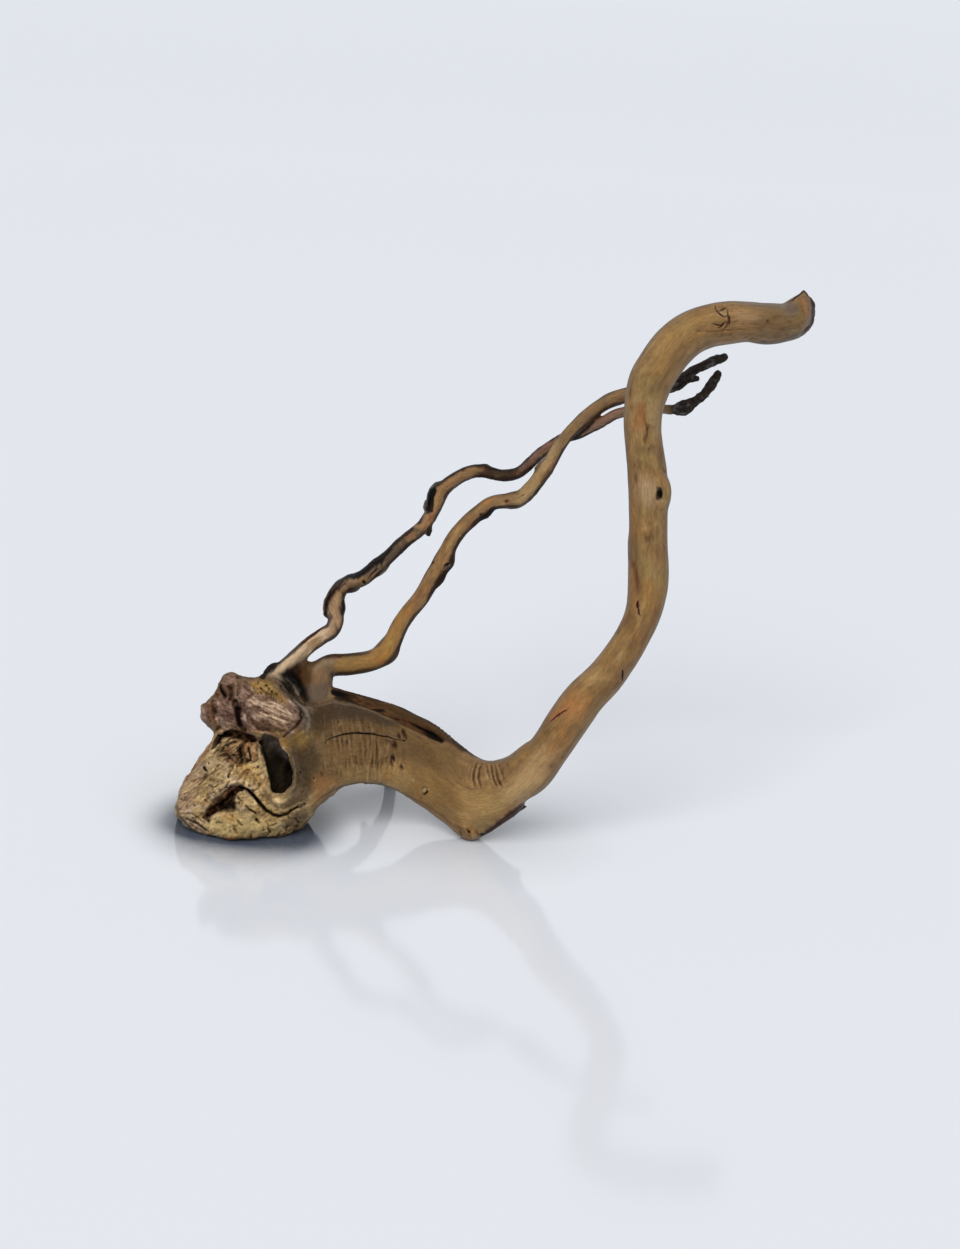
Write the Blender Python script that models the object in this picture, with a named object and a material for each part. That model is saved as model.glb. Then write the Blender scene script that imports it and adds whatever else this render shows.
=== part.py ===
"""Dry root: one grown piece of debarked, weathered wood.

A torn burl stands at the left on a flat foot. From it an arched slab runs right
to an elbow, the elbow turns up into the main stem, and the stem climbs right and
back to a torn, hooked end. Two thin branches leave the top of the burl and run
behind the stem, and a thin rear leg props the root from behind.

Metres, +Z up. The origin is the middle of the burl's foot, on the ground.
"""

import math

import bmesh
import bpy
import numpy as np
from mathutils import Matrix, Vector

# ---------------------------------------------------------------- dimensions
NODE = "dry_root"
MM = 0.001

# The root is drawn on a sloping sight plane, as it is seen from the eye point:
# each station gives how far right and down it lies on that plane (in points of
# the plane) and how far back it lies (mm), so outlines and depths stay apart.
EYE = Vector((0.1572, -1.4025, 0.6537))
LOOK_DOWN = math.radians(19.4)
LEAN = math.radians(3.43)
PLANE_DISTANCE = 2200.0
PLANE_CENTRE = (480.0, 624.5)

GRAIN = 0.0017  # cell of the surface before it is thinned
SOFTEN = 5  # rounds of smoothing where limbs run into each other
FACES = 7600  # triangles of the finished surface
FOOT_CUT = 0.010  # depth of the block that flattens the feet

# Main stem, elbow to hook: right, down, back (mm), radius (points)
STEM = [
    (514, 781, -1, 20), (528, 771, -2, 21), (548, 750, -3, 19.3),
    (566, 725, 1, 20), (584, 699.5, 7, 20), (607, 675, 12, 18.5),
    (631, 640, 18, 17.5), (643, 614, 24, 18), (648, 590, 32, 20), (648, 546, 46, 20),
    (649, 529, 52, 19), (649, 494, 63, 19.5), (648, 473, 71, 20), (645, 446, 80, 18.7),
    (643.5, 430, 87, 18.5), (643.5, 407, 94, 20), (649, 383, 102, 22.6), (660, 365, 109, 22.6),
    (674.5, 346, 117, 22.5), (691, 333, 124, 22), (709.5, 326, 129, 21.6), (727, 323, 131, 21.8),
    (747, 322, 132, 20), (768, 323.5, 134, 21), (787.5, 322, 138, 19.5), (803, 316, 142, 21.5),
]

# Arched slab, burl to elbow: lower edge (right, down, back), upper edge
# (right, down, back), half thickness (mm)
SLAB = [
    ((286, 806, -8), (284, 706, 30), 12.0), ((311, 808, -11), (309, 690, 40), 15.5),
    ((339, 789, -3), (331, 687, 41), 14.5),
    ((363, 784, 2), (353, 692, 42), 13.5), ((387, 785, 7), (376, 699, 41), 12.5),
    ((401, 791, 8.5), (396, 705, 39), 12.0), ((416, 801, 13), (416, 714, 35), 12.0),
    ((432, 811, 14), (434, 723, 32), 12.5), ((446, 821, 10), (453, 739, 23), 13.0),
    ((458, 832, 4), (472, 753, 15), 13.5), ((474, 840, -1), (486, 761, 8), 13.8),
    ((492, 831, -1), (500, 760, 5), 14.2), ((507, 820, -2), (513, 755, 3), 14.6),
    ((520, 808, -4), (527, 745, 1), 14.2),
]

# Back thin branch, from the burl's top through its S-bend to the charred tip
BACK_BRANCH = [
    (272, 682, 34, 10), (284, 667, 45, 8.6), (295.5, 657.8, 54, 8.6), (309, 647, 63, 8.4),
    (322, 638, 72, 8.3), (333, 631, 77, 8.3), (337, 621, 83, 8.2), (335.5, 608, 91, 8.1),
    (341, 589.5, 97, 7.8), (350.4, 582.8, 92, 7.2), (364, 577.4, 82, 7), (377, 568, 79, 6.8),
    (388, 560, 83, 6.8), (405, 544, 94, 6.7), (425, 526.5, 107, 6.5), (434.7, 506, 121, 6.6),
    (443.4, 487.5, 132, 6.7), (465, 473.4, 129, 6.6), (478, 470.7, 125, 6.4), (503, 476, 124, 5.9),
    (519, 472.3, 134, 5.9), (530, 461.4, 146, 5.8), (541, 451.7, 156, 5.8), (563, 439, 164, 5.6),
    (578, 435.7, 162, 5.6), (604, 421.6, 158, 5.5), (617, 412.7, 157, 5.5), (648, 408.5, 148, 5.2),
    (676, 409.5, 139, 5.2), (684, 409, 138, 5.9), (704.5, 391, 147, 5.4), (717, 375, 158, 4.6),
]

# Front thin branch, from the burl's top to the charred tip behind the hook
FRONT_BRANCH = [
    (313, 700, 34, 15), (314, 678, 49, 12), (330, 666, 60, 9.8), (350.4, 663, 63, 9.7),
    (370.5, 659, 65, 9), (384, 652.4, 67, 9.2), (392, 643, 71, 9.3), (397.3, 627, 78, 8.8),
    (405.4, 613.6, 85, 8.3), (417.4, 597.5, 91, 8), (428, 581.4, 96, 8.3), (440, 562, 101, 8.2),
    (446.6, 547, 104, 7.3), (456.4, 533, 107, 7.3), (467, 522, 110, 7.6), (478, 512.4, 114, 7.5),
    (492, 502.6, 118, 7.3), (519, 499.4, 122, 7.2), (530, 490.7, 126, 7.1), (541, 476.6, 133, 6.9),
    (552, 460.4, 141, 6.4), (562, 442, 149, 6.1), (572, 429.3, 155, 6.2), (595, 407.6, 163, 6.6),
    (619, 394.8, 166, 6.4), (660, 389, 162, 6.3), (678, 384.6, 162, 6.4), (693, 369.3, 171, 5.6),
    (703, 364.2, 176, 5.2), (724.5, 355.4, 183.6, 5.2),
]
TWIG_STUB = [(674, 385, 162, 5.5), (686, 381, 163, 5), (700, 379.5, 163, 4.4)]

# Rear leg: x, y, z, radius (mm), from inside the burl to its foot on the ground
REAR_LEG = [
    (40, 6, 42, 12), (55, 13, 35, 9), (68, 21, 32.5, 7), (78, 30, 30, 6.5), (85, 40, 26.5, 6.2),
    (90, 51, 22.5, 5.8), (94, 61, 18, 5.4), (97, 71, 13, 5), (98, 80, 8, 4.8), (98, 89, 4, 4.8),
    (97, 97, 2, 4.2),
]
LEG_SPUR = [(86, 43, 25, 4.5), (83, 49, 20, 3.4), (81.5, 52, 16.5, 2.5)]

# Burl: lumps (right, down, back) of the middle, half sizes across, up, through
# (mm) and turn in the sight plane (degrees). Its torn face leans back.
FACE_LEAN = math.radians(31)
LUMPS = [
    ((230, 799, 9), (33, 32, 28), 20), ((258, 812, 3), (33, 19, 28), -5),
    ((198.4, 806, 3), (17.8, 20, 23), 12), ((281, 812, 4), (23, 16, 25), 15),
    ((244, 764, 22), (25, 20, 26), 20), ((300, 765, 24), (20, 30, 23), 0),
    ((298, 722, 32), (20, 24, 22), 0), ((252, 708, 33), (30, 20, 23), -12),
    ((236, 692, 35), (14, 12, 14), 0), ((215, 711, 22), (10, 12, 12), 0),
    ((281, 716, 24), (15, 13, 15), -20), ((234, 745, 24), (20, 16, 20), 0),
    ((272, 691, 38), (20, 12, 16), 0), ((281, 742, 11), (5, 13, 6), 4),
    ((272, 768, 19), (20, 30, 20), 8), ((312, 752, 19), (16, 36, 20), 0),
    ((297, 799, 0), (15, 14, 20), 10), ((218, 772, 13), (13, 18, 18), 30),
    ((262, 738, 28), (20, 18, 20), 0), ((303, 678, 50), (12, 12, 7), 0),
]
NUBS = [((233, 681, 36), (7, 6.5, 7), 0), ((268, 671, 41), (4.5, 4, 5), -20),
        ((206, 710, 17), (4, 6.5, 6), 0)]
FOOT_LUMP = ((-1, 4, 6), (33, 34.8, 14))  # middle and half sizes, mm
HOLLOW = [(264, 744, 2, 7.5), (269, 757, -1, 10.5), (276, 771, -5, 14), (278, 781, -9, 12)]
ELBOW_LUMP = ((473, 827.5, -1), (10.5, 11.5, 10.5), 0)
THORN = [(508, 801, 3, 15), (517, 806, 4, 7), (525, 806, 5, 2.5)]
STEM_KNOB = ((660, 493, 56), (9, 14, 10), 0)
HOOK_LIP = [(800, 322, 141, 17), (809, 316, 143, 13), (815, 310, 144, 8)]
HOOK_TIP = [(799, 320, 141, 14), (804, 306, 142, 10.5), (805, 297, 142.5, 7.5), (804.6, 289.5, 143, 4.8)]


# ------------------------------------------------------------------- helpers
def sight(u, v, back):
    """The point on the sight line through (u, v) that lies `back` mm behind the origin."""
    du, dv = u - PLANE_CENTRE[0], v - PLANE_CENTRE[1]
    right = du * math.cos(LEAN) + dv * math.sin(LEAN)
    down = -du * math.sin(LEAN) + dv * math.cos(LEAN)
    ray = (
        Vector((1, 0, 0)) * right
        + Vector((0, -math.sin(LOOK_DOWN), -math.cos(LOOK_DOWN))) * down
        + Vector((0, math.cos(LOOK_DOWN), -math.sin(LOOK_DOWN))) * PLANE_DISTANCE
    )
    return EYE + ray * ((back * MM - EYE.y) / ray.y)


def point_size(place):
    """Metres that one point of the sight plane covers at a place."""
    ahead = Vector((0, math.cos(LOOK_DOWN), -math.sin(LOOK_DOWN)))
    return (place - EYE).dot(ahead) / PLANE_DISTANCE


def smooth_through(rows, step):
    """Centripetal curve through all rows of numbers, with a row every `step` metres."""
    rows = np.asarray(rows, dtype=float)
    rows = np.vstack([2 * rows[0] - rows[1], rows, 2 * rows[-1] - rows[-2]])
    out = []
    for k in range(1, len(rows) - 2):
        four = rows[k - 1 : k + 3]
        gap = np.sqrt(np.linalg.norm(np.diff(four[:, :3], axis=0), axis=1)) + 1e-9
        t0, t1, t2, t3 = 0, gap[0], gap[0] + gap[1], gap.sum()
        count = max(1, int(round(np.linalg.norm(four[2, :3] - four[1, :3]) / step)))
        for i in range(count):
            t = t1 + (t2 - t1) * i / count
            a = [
                ((b1 - t) * four[j] + (t - b0) * four[j + 1]) / (b1 - b0)
                for j, (b0, b1) in enumerate(((t0, t1), (t1, t2), (t2, t3)))
            ]
            b = [
                ((t2 - t) * a[0] + (t - t0) * a[1]) / (t2 - t0),
                ((t3 - t) * a[1] + (t - t1) * a[2]) / (t3 - t1),
            ]
            out.append(((t2 - t) * b[0] + (t - t1) * b[1]) / (t2 - t1))
    out.append(rows[-2])
    return np.array(out)


def keep(mesh_maker, name):
    """A hidden guide object from a function that fills a bmesh."""
    bm = bmesh.new()
    mesh_maker(bm)
    bmesh.ops.recalc_face_normals(bm, faces=bm.faces)
    mesh = bpy.data.meshes.new(name)
    bm.to_mesh(mesh)
    bm.free()
    obj = bpy.data.objects.new(name, mesh)
    bpy.context.scene.collection.objects.link(obj)
    obj.hide_render = True
    obj.display_type = "WIRE"
    return obj


def skin(bm, rings):
    """Closed tube through rings of corners, pointed at both ends."""
    rows = [[bm.verts.new(p) for p in ring] for ring in rings]
    for a, b in zip(rows, rows[1:]):
        for i in range(len(a)):
            j = (i + 1) % len(a)
            bm.faces.new((a[i], a[j], b[j], b[i]))
    for row, near in ((rows[0], rings[1]), (rows[-1], rings[-2])):
        middle = sum((v.co for v in row), Vector()) / len(row)
        inside = sum((Vector(p) for p in near), Vector()) / len(near)
        reach = (row[0].co - middle).length * 0.35
        tip = bm.verts.new(middle + (middle - inside).normalized() * reach)
        for i in range(len(row)):
            bm.faces.new((row[i], row[(i + 1) % len(row)], tip))


def limb(bm, stations, sides=16):
    """Round tube along stations of (x, y, z, radius) in metres."""
    path = smooth_through(stations, 0.004)
    rings, across = [], Vector((0.31, -0.9, 0.3))
    for k, row in enumerate(path):
        ahead = Vector(path[min(k + 1, len(path) - 1)][:3] - path[max(k - 1, 0)][:3]).normalized()
        across = (across - ahead * across.dot(ahead)).normalized()
        side = ahead.cross(across)
        ring = []
        for i in range(sides):
            a = 2 * math.pi * i / sides
            ring.append(Vector(row[:3]) + (across * math.cos(a) + side * math.sin(a)) * row[3])
        rings.append(ring)
    skin(bm, rings)


def seen(stations):
    """Stations of the sight plane, as places and radii in metres."""
    out = []
    for u, v, back, r in stations:
        place = sight(u, v, back)
        out.append((*place, r * point_size(place)))
    return out


def slab(bm, stations, sides=20):
    """Flattened tube between a lower and an upper edge."""
    rows = []
    for low, high, half in stations:
        rows.append([*sight(*low), *sight(*high), half * MM])
    path = smooth_through(rows, 0.005)
    middles = [(Vector(r[:3]) + Vector(r[3:6])) / 2 for r in path]
    rings = []
    for k, row in enumerate(path):
        ahead = (middles[min(k + 1, len(path) - 1)] - middles[max(k - 1, 0)]).normalized()
        tall = (Vector(row[3:6]) - Vector(row[:3])) / 2
        thick = ahead.cross(tall).normalized() * row[6]
        ring = []
        for i in range(sides):
            a = 2 * math.pi * i / sides
            c, s = math.cos(a), math.sin(a)
            full = 0.85 + 0.15 * abs(s)
            ring.append(middles[k] + tall * c + thick * s * full)
        rings.append(ring)
    skin(bm, rings)


def lump(bm, middle, half, turn=0.0, lean=FACE_LEAN):
    """Rounded lump whose up axis leans back with the torn face."""
    place = (
        Matrix.Translation(middle)
        @ Matrix.Rotation(-lean, 4, "X")
        @ Matrix.Rotation(-math.radians(turn), 4, "Y")
        @ Matrix.Diagonal((half[0] * MM, half[2] * MM, half[1] * MM, 1.0))
    )
    bmesh.ops.create_icosphere(bm, subdivisions=3, radius=1.0, matrix=place)


def wood():
    """Dry, debarked root wood."""
    mat = bpy.data.materials.new("dry root wood")
    mat.use_nodes = True
    shader = mat.node_tree.nodes["Principled BSDF"]
    shader.inputs["Base Color"].default_value = (0.33, 0.21, 0.11, 1.0)
    shader.inputs["Roughness"].default_value = 0.62
    shader.inputs["Metallic"].default_value = 0.0
    return mat


# --------------------------------------------------------------------- build
def fill_root(bm):
    limb(bm, seen(STEM), 20)
    slab(bm, SLAB)
    limb(bm, seen(BACK_BRANCH), 12)
    limb(bm, seen(FRONT_BRANCH), 12)
    limb(bm, seen(TWIG_STUB), 10)
    limb(bm, [tuple(n * MM for n in row) for row in REAR_LEG], 12)
    limb(bm, [tuple(n * MM for n in row) for row in LEG_SPUR], 10)
    limb(bm, seen(THORN), 10)
    limb(bm, seen(HOOK_LIP), 12)
    limb(bm, seen(HOOK_TIP), 10)
    for middle, half, turn in LUMPS + NUBS + [ELBOW_LUMP, STEM_KNOB]:
        lump(bm, sight(*middle), half, turn)
    lump(bm, Vector(FOOT_LUMP[0]) * MM, (FOOT_LUMP[1][0], FOOT_LUMP[1][2], FOOT_LUMP[1][1]), 0, 0)


def fill_hollow(bm):
    limb(bm, seen(HOLLOW), 14)


def fill_ground(bm):
    middle = Matrix.Translation((0.12, 0.05, -FOOT_CUT))
    bmesh.ops.create_cube(bm, size=1.0, matrix=middle @ Matrix.Diagonal((0.6, 0.5, 2 * FOOT_CUT, 1.0)))


def count_faces(obj):
    seen_mesh = obj.evaluated_get(bpy.context.evaluated_depsgraph_get()).to_mesh()
    return sum(len(p.vertices) - 2 for p in seen_mesh.polygons)


def main():
    for obj in list(bpy.data.objects):
        bpy.data.objects.remove(obj, do_unlink=True)

    root = keep(fill_root, NODE)
    root.hide_render = False
    root.display_type = "TEXTURED"
    root.data.materials.append(wood())

    grow = root.modifiers.new("grow together", "REMESH")
    grow.mode = "VOXEL"
    grow.voxel_size = GRAIN
    grow.adaptivity = 0.0
    soften = root.modifiers.new("soften", "SMOOTH")
    soften.factor = 0.5
    soften.iterations = SOFTEN

    bpy.context.view_layer.update()
    thin = root.modifiers.new("thin out", "DECIMATE")
    thin.decimate_type = "COLLAPSE"
    thin.ratio = FACES / count_faces(root)

    for name, maker in (("hollow_cutter", fill_hollow), ("ground_cutter", fill_ground)):
        cut = root.modifiers.new(name, "BOOLEAN")
        cut.operation = "DIFFERENCE"
        cut.solver = "EXACT"
        cut.object = keep(maker, name)


main()
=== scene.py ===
import math

import bpy
import numpy as np
from mathutils import Matrix, Vector, kdtree


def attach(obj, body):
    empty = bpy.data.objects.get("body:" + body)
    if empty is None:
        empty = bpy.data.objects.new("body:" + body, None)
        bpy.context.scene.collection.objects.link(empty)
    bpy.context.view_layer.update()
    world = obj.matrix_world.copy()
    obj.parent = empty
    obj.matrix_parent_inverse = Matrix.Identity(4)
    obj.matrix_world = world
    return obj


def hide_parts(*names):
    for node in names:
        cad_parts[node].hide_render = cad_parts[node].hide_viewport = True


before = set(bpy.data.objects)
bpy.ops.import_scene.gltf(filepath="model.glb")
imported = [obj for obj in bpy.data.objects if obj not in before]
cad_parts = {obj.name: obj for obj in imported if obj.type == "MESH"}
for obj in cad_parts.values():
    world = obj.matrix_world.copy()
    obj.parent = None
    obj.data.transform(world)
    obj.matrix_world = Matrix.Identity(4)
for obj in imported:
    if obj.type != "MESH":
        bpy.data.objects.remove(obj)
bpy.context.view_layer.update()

CELL = 0.85  # mm, of the grid that the wood is grown on
MOST_TRIANGLES = 196_000

# ------------------------------------------------------------------ the view
EYE = np.array([157.2, -1402.5, 653.7])  # mm
LOOK_DOWN = math.radians(19.4)
LEAN = math.radians(3.43)
PLANE = 2200.0
MID = (480.0, 624.5)
RIGHT = np.array([1.0, 0.0, 0.0])
AHEAD = np.array([0.0, math.cos(LOOK_DOWN), -math.sin(LOOK_DOWN)])
DOWN = np.array([0.0, -math.sin(LOOK_DOWN), -math.cos(LOOK_DOWN)])


def sight(u, v, back):
    """Place (mm) on the sight line through (u, v) that lies `back` mm behind the origin."""
    du, dv = u - MID[0], v - MID[1]
    a = du * math.cos(LEAN) + dv * math.sin(LEAN)
    b = -du * math.sin(LEAN) + dv * math.cos(LEAN)
    ray = RIGHT * a + DOWN * b + AHEAD * PLANE
    return EYE + ray * ((back - EYE[1]) / ray[1])


def seen_at(p):
    """(u, v) of places, and the mm that a point of the sight plane covers there."""
    r = p - EYE
    far = r @ AHEAD
    a, b = PLANE * (r @ RIGHT) / far, PLANE * (r @ DOWN) / far
    u = MID[0] + a * math.cos(LEAN) - b * math.sin(LEAN)
    v = MID[1] + a * math.sin(LEAN) + b * math.cos(LEAN)
    return u, v, far / PLANE


# --------------------------------------------------------------------- noise
def _hash(ix, iy, iz, seed):
    n = (ix.astype(np.uint32) * np.uint32(374761393) + iy.astype(np.uint32) * np.uint32(668265263)
         + iz.astype(np.uint32) * np.uint32(2246822519) + np.uint32((seed * 3266489917) & 0xFFFFFFFF))
    n = (n ^ (n >> np.uint32(15))) * np.uint32(2246822519)
    n = (n ^ (n >> np.uint32(13))) * np.uint32(3266489917)
    n = n ^ (n >> np.uint32(16))
    return n.astype(np.float32) * np.float32(1.0 / 4294967296.0)


def noise(p, seed=0):
    """Smooth value noise, -1 to 1, of points given one a row."""
    p = np.asarray(p, dtype=np.float32)
    cell = np.floor(p)
    f = p - cell
    i = cell.astype(np.int64)
    w = f * f * f * (f * (f * 6 - 15) + 10)
    out = 0.0
    for dx in (0, 1):
        wx = w[:, 0] if dx else 1 - w[:, 0]
        for dy in (0, 1):
            wy = w[:, 1] if dy else 1 - w[:, 1]
            for dz in (0, 1):
                wz = w[:, 2] if dz else 1 - w[:, 2]
                out = out + wx * wy * wz * _hash(i[:, 0] + dx, i[:, 1] + dy, i[:, 2] + dz, seed)
    return out * 2 - 1


def fbm(p, octaves=4, seed=0, gain=0.5):
    p = np.asarray(p, dtype=np.float32)
    out, size, total = 0.0, 1.0, 0.0
    for k in range(octaves):
        out = out + size * noise(p, seed + 17 * k)
        total += size
        size *= gain
        p = p * 2.03 + 11.7
    return out / total


def ridged(p, octaves=4, seed=0, gain=0.55):
    p = np.asarray(p, dtype=np.float32)
    out, size, total = 0.0, 1.0, 0.0
    for k in range(octaves):
        out = out + size * (1 - 2 * np.abs(noise(p, seed + 23 * k)))
        total += size
        size *= gain
        p = p * 2.07 + 5.3
    return out / total


def cells(p, seed=0):
    """Distance to the nearest and second nearest of scattered points, and a number for the nearest one."""
    p = np.asarray(p, dtype=np.float32)
    base = np.floor(p)
    i = base.astype(np.int64)
    near = np.full(len(p), 9.0, np.float32)
    second = np.full(len(p), 9.0, np.float32)
    name = np.zeros(len(p), np.float32)
    for dx in (-1, 0, 1):
        for dy in (-1, 0, 1):
            for dz in (-1, 0, 1):
                a, b, c = i[:, 0] + dx, i[:, 1] + dy, i[:, 2] + dz
                q = np.stack([a + _hash(a, b, c, seed), b + _hash(a, b, c, seed + 1), c + _hash(a, b, c, seed + 2)], 1)
                d = np.sqrt(((q - p) ** 2).sum(1)).astype(np.float32)
                closer = d < near
                second = np.where(closer, near, np.minimum(second, d))
                name = np.where(closer, _hash(a, b, c, seed + 3), name)
                near = np.where(closer, d, near)
    return near, second, name


def ramp(x, a, b):
    """0 at a, 1 at b, smooth between."""
    t = np.clip((x - a) / (b - a), 0, 1)
    return t * t * (3 - 2 * t)


# ----------------------------------------------------------------- the plan
# Main stem, elbow to hook: right, down (points of the sight plane), back (mm), radius (points)
STEM = [
    (515, 782, -1, 21.5), (529.5, 772, -2, 22.6), (548.5, 750.5, -3, 20.2), (565.6, 724.6, 1, 20.5), (584, 699.5, 7, 20),
    (607, 675, 12, 18.5), (631, 640, 18, 17.5), (643, 614, 24, 18), (648, 590, 32, 20), (648.5, 571, 38, 20.6),
    (647.6, 546, 46, 20.2), (648.2, 529, 52, 19.4), (648.2, 494, 63, 19.5), (647.2, 473, 71, 19.6), (644.2, 446, 80, 18.4),
    (642.8, 430, 87, 18.4), (643.5, 407, 94, 19.8), (649.6, 383, 102, 22), (660, 365, 109, 22.4),
    (674.2, 346, 117, 22.5), (691, 333, 124, 22), (709.5, 326, 129, 21.6), (727, 323, 131, 21.8),
    (747, 322, 132, 20.2), (768, 323.8, 134, 21), (787.5, 322, 138, 19.3), (802, 316, 142, 20.6),
]
# Arched slab, burl to elbow: lower edge, upper edge (right, down, back), half thickness (mm)
SLAB = [
    ((286, 806, -8), (284, 706, 30), 12.0), ((311, 808, -11), (309, 690, 40), 15.5),
    ((339, 788.5, -3), (331, 688, 41), 14.5), ((355, 783.5, 0), (345, 691, 42), 14.0),
    ((370, 783, 3), (360, 695, 42), 13.2), ((387, 786.2, 7), (376, 699.6, 41), 12.5),
    ((401, 793, 8.5), (396, 705.6, 39), 12.0), ((416, 803, 13), (416, 714.6, 35), 12.0),
    ((432, 813, 14), (434, 723.8, 32), 12.5), ((446, 822.6, 10), (452.6, 740, 23), 13.0),
    ((458, 831.5, 4), (471.5, 754.4, 15), 13.5), ((474, 836, 1), (486, 761, 8), 13.8),
    ((491, 829.5, 0), (500, 760.6, 5), 14.2), ((507, 820, -2), (513, 756.4, 3), 14.6),
    ((520, 809, -4), (526.6, 746.4, 1), 14.2),
]
BACK_BRANCH = [
    (272, 683, 34, 9.4), (284.5, 667.5, 45, 7.9), (296, 658, 54, 8.2), (308.2, 646.2, 63, 7.9),
    (321, 637, 72, 7.8), (331.8, 630.2, 77, 7.9), (336, 620.3, 83, 7.8), (334.4, 608, 91, 8.3),
    (339.6, 589.6, 97, 8.2), (350, 582.8, 92, 7.8), (363.2, 577.6, 82, 7.8), (376.4, 567, 79, 7.1),
    (386.8, 558.4, 83, 6.9), (403.6, 542.4, 94, 6.8), (424, 525, 107, 6.6), (435.4, 506, 121, 6.8),
    (444.3, 488.2, 132, 7.1), (465, 474, 129, 6.6), (478, 470.7, 125, 6.3), (503, 475.4, 124, 5.5),
    (519, 472.2, 134, 5.5), (530.8, 462, 146, 5.4), (541.8, 452.2, 156, 5.5), (563, 438.6, 164, 5.4),
    (578, 433.8, 162, 5.2), (604, 421, 158, 4.8), (617, 413.8, 157, 4.8), (648, 408.5, 148, 4.8),
    (674, 409.4, 139, 4.4), (684, 408, 138, 5.0), (694, 402, 142, 4.6), (706.5, 391.4, 147, 4.3), (714.5, 380, 155, 4.2), (718, 373.5, 158, 3.2),
]
FRONT_BRANCH = [
    (315, 700, 34, 16), (317, 679, 49, 13.4), (329, 666.4, 60, 11.4), (350.4, 664.2, 63, 10.8),
    (371, 660.8, 65, 10.6), (384, 654.4, 67, 10.6), (391.6, 643, 71, 9.4), (399, 627.6, 78, 9.0),
    (407, 614.6, 85, 8.6), (420, 599, 91, 8.6), (429.8, 582.8, 96, 8.4), (441.6, 562.4, 101, 8.8),
    (448.4, 548.2, 104, 7.9), (457.2, 533.8, 107, 7.5), (467.4, 522.6, 110, 7.5), (478.4, 513, 114, 7.5),
    (492, 503, 118, 7.2), (519, 498.8, 122, 7.7), (530, 489.4, 126, 7.8), (541, 475.6, 133, 7.4),
    (551.6, 459.8, 141, 6.9), (562, 442, 149, 6.2), (572.4, 429.8, 155, 6.2), (595.6, 408.6, 163, 6.9),
    (619, 397.2, 166, 7.8), (660, 389, 162, 6.3), (678, 383.4, 162, 6.0), (691, 372, 171, 4.6),
    (703, 366, 176, 3.9), (714, 361, 179, 4.1), (723.5, 357.6, 182, 3.6),
]
TWIG_STUB = [(672, 383.5, 162, 4.6), (684, 380.4, 163, 3.8), (691, 379.2, 163, 3.3), (696.5, 378.6, 163, 2.4)]
REAR_LEG = [  # x, y, z, radius, mm
    (40, 6, 43, 12), (55, 13, 38, 9), (68, 21, 35.2, 7), (78, 30, 32.4, 6.5), (85, 40, 28.4, 6.1),
    (90, 51, 24, 5.6), (94, 61, 19.2, 5.2), (97, 71, 13.8, 4.7), (98, 80, 8.4, 4.3), (98, 89, 4.2, 4.3),
    (97, 97, 2, 4.0),
]
LEG_SPUR = [(86, 43, 25, 4.5), (83, 49, 20, 3.4), (81.5, 52, 16.5, 1.6)]
FACE_LEAN = math.radians(31)
LUMPS = [  # middle (right, down, back), half sizes across, up, through (mm), turn
    ((230, 799, 9), (33, 32, 28), 20), ((258, 812, 3), (33, 19, 28), -5),
    ((199, 806, 3), (17, 20, 23), 12), ((281, 812, 4), (23, 16, 25), 15),
    ((244, 764, 22), (25, 20, 26), 20), ((300, 765, 24), (20, 30, 23), 0),
    ((234, 745, 24), (20, 16, 20), 0), ((272, 768, 19), (20, 30, 20), 8),
    ((312, 752, 19), (16, 36, 20), 0), ((297, 799, 0), (15, 14, 20), 10),
    ((218, 772, 13), (13, 18, 18), 30), ((262, 738, 28), (20, 18, 20), 0),
    ((-1, 4, 6), (33, 14, 31), None),
]
TOP_LUMPS = [
    ((298, 722, 32), (20, 24, 22), 0), ((252, 708, 33), (30, 20, 23), -12),
    ((236, 692, 35), (14, 12, 14), 0), ((215, 711, 22), (10, 12, 12), 0),
    ((281, 716, 24), (15, 13, 15), -20), ((272, 691, 38), (20, 12, 16), 0),
    ((303, 678, 50), (12, 12, 7), 0), ((233, 681, 36), (7, 6.5, 7), 0),
    ((268, 671, 41), (4.5, 4, 5), -20), ((206, 710, 17), (4, 6.5, 6), 0),
]


def smooth_through(rows, step):
    """Centripetal curve through all rows of numbers, with a row about every `step` mm."""
    rows = np.asarray(rows, dtype=float)
    rows = np.vstack([2 * rows[0] - rows[1], rows, 2 * rows[-1] - rows[-2]])
    out = []
    for k in range(1, len(rows) - 2):
        four = rows[k - 1 : k + 3]
        gap = np.sqrt(np.linalg.norm(np.diff(four[:, :3], axis=0), axis=1)) + 1e-9
        t0, t1, t2, t3 = 0, gap[0], gap[0] + gap[1], gap.sum()
        count = max(1, int(round(np.linalg.norm(four[2, :3] - four[1, :3]) / step)))
        for i in range(count):
            t = t1 + (t2 - t1) * i / count
            a = [((b1 - t) * four[j] + (t - b0) * four[j + 1]) / (b1 - b0)
                 for j, (b0, b1) in enumerate(((t0, t1), (t1, t2), (t2, t3)))]
            b = [((t2 - t) * a[0] + (t - t0) * a[1]) / (t2 - t0),
                 ((t3 - t) * a[1] + (t - t1) * a[2]) / (t3 - t1)]
            out.append(((t2 - t) * b[0] + (t - t1) * b[1]) / (t2 - t1))
    out.append(rows[-2])
    return np.array(out)


def seen(stations):
    """Stations of the sight plane as places and radii in mm."""
    out = []
    for u, v, back, r in stations:
        p = sight(u, v, back)
        out.append((*p, r * float((p - EYE) @ AHEAD) / PLANE))
    return np.array(out)


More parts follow.
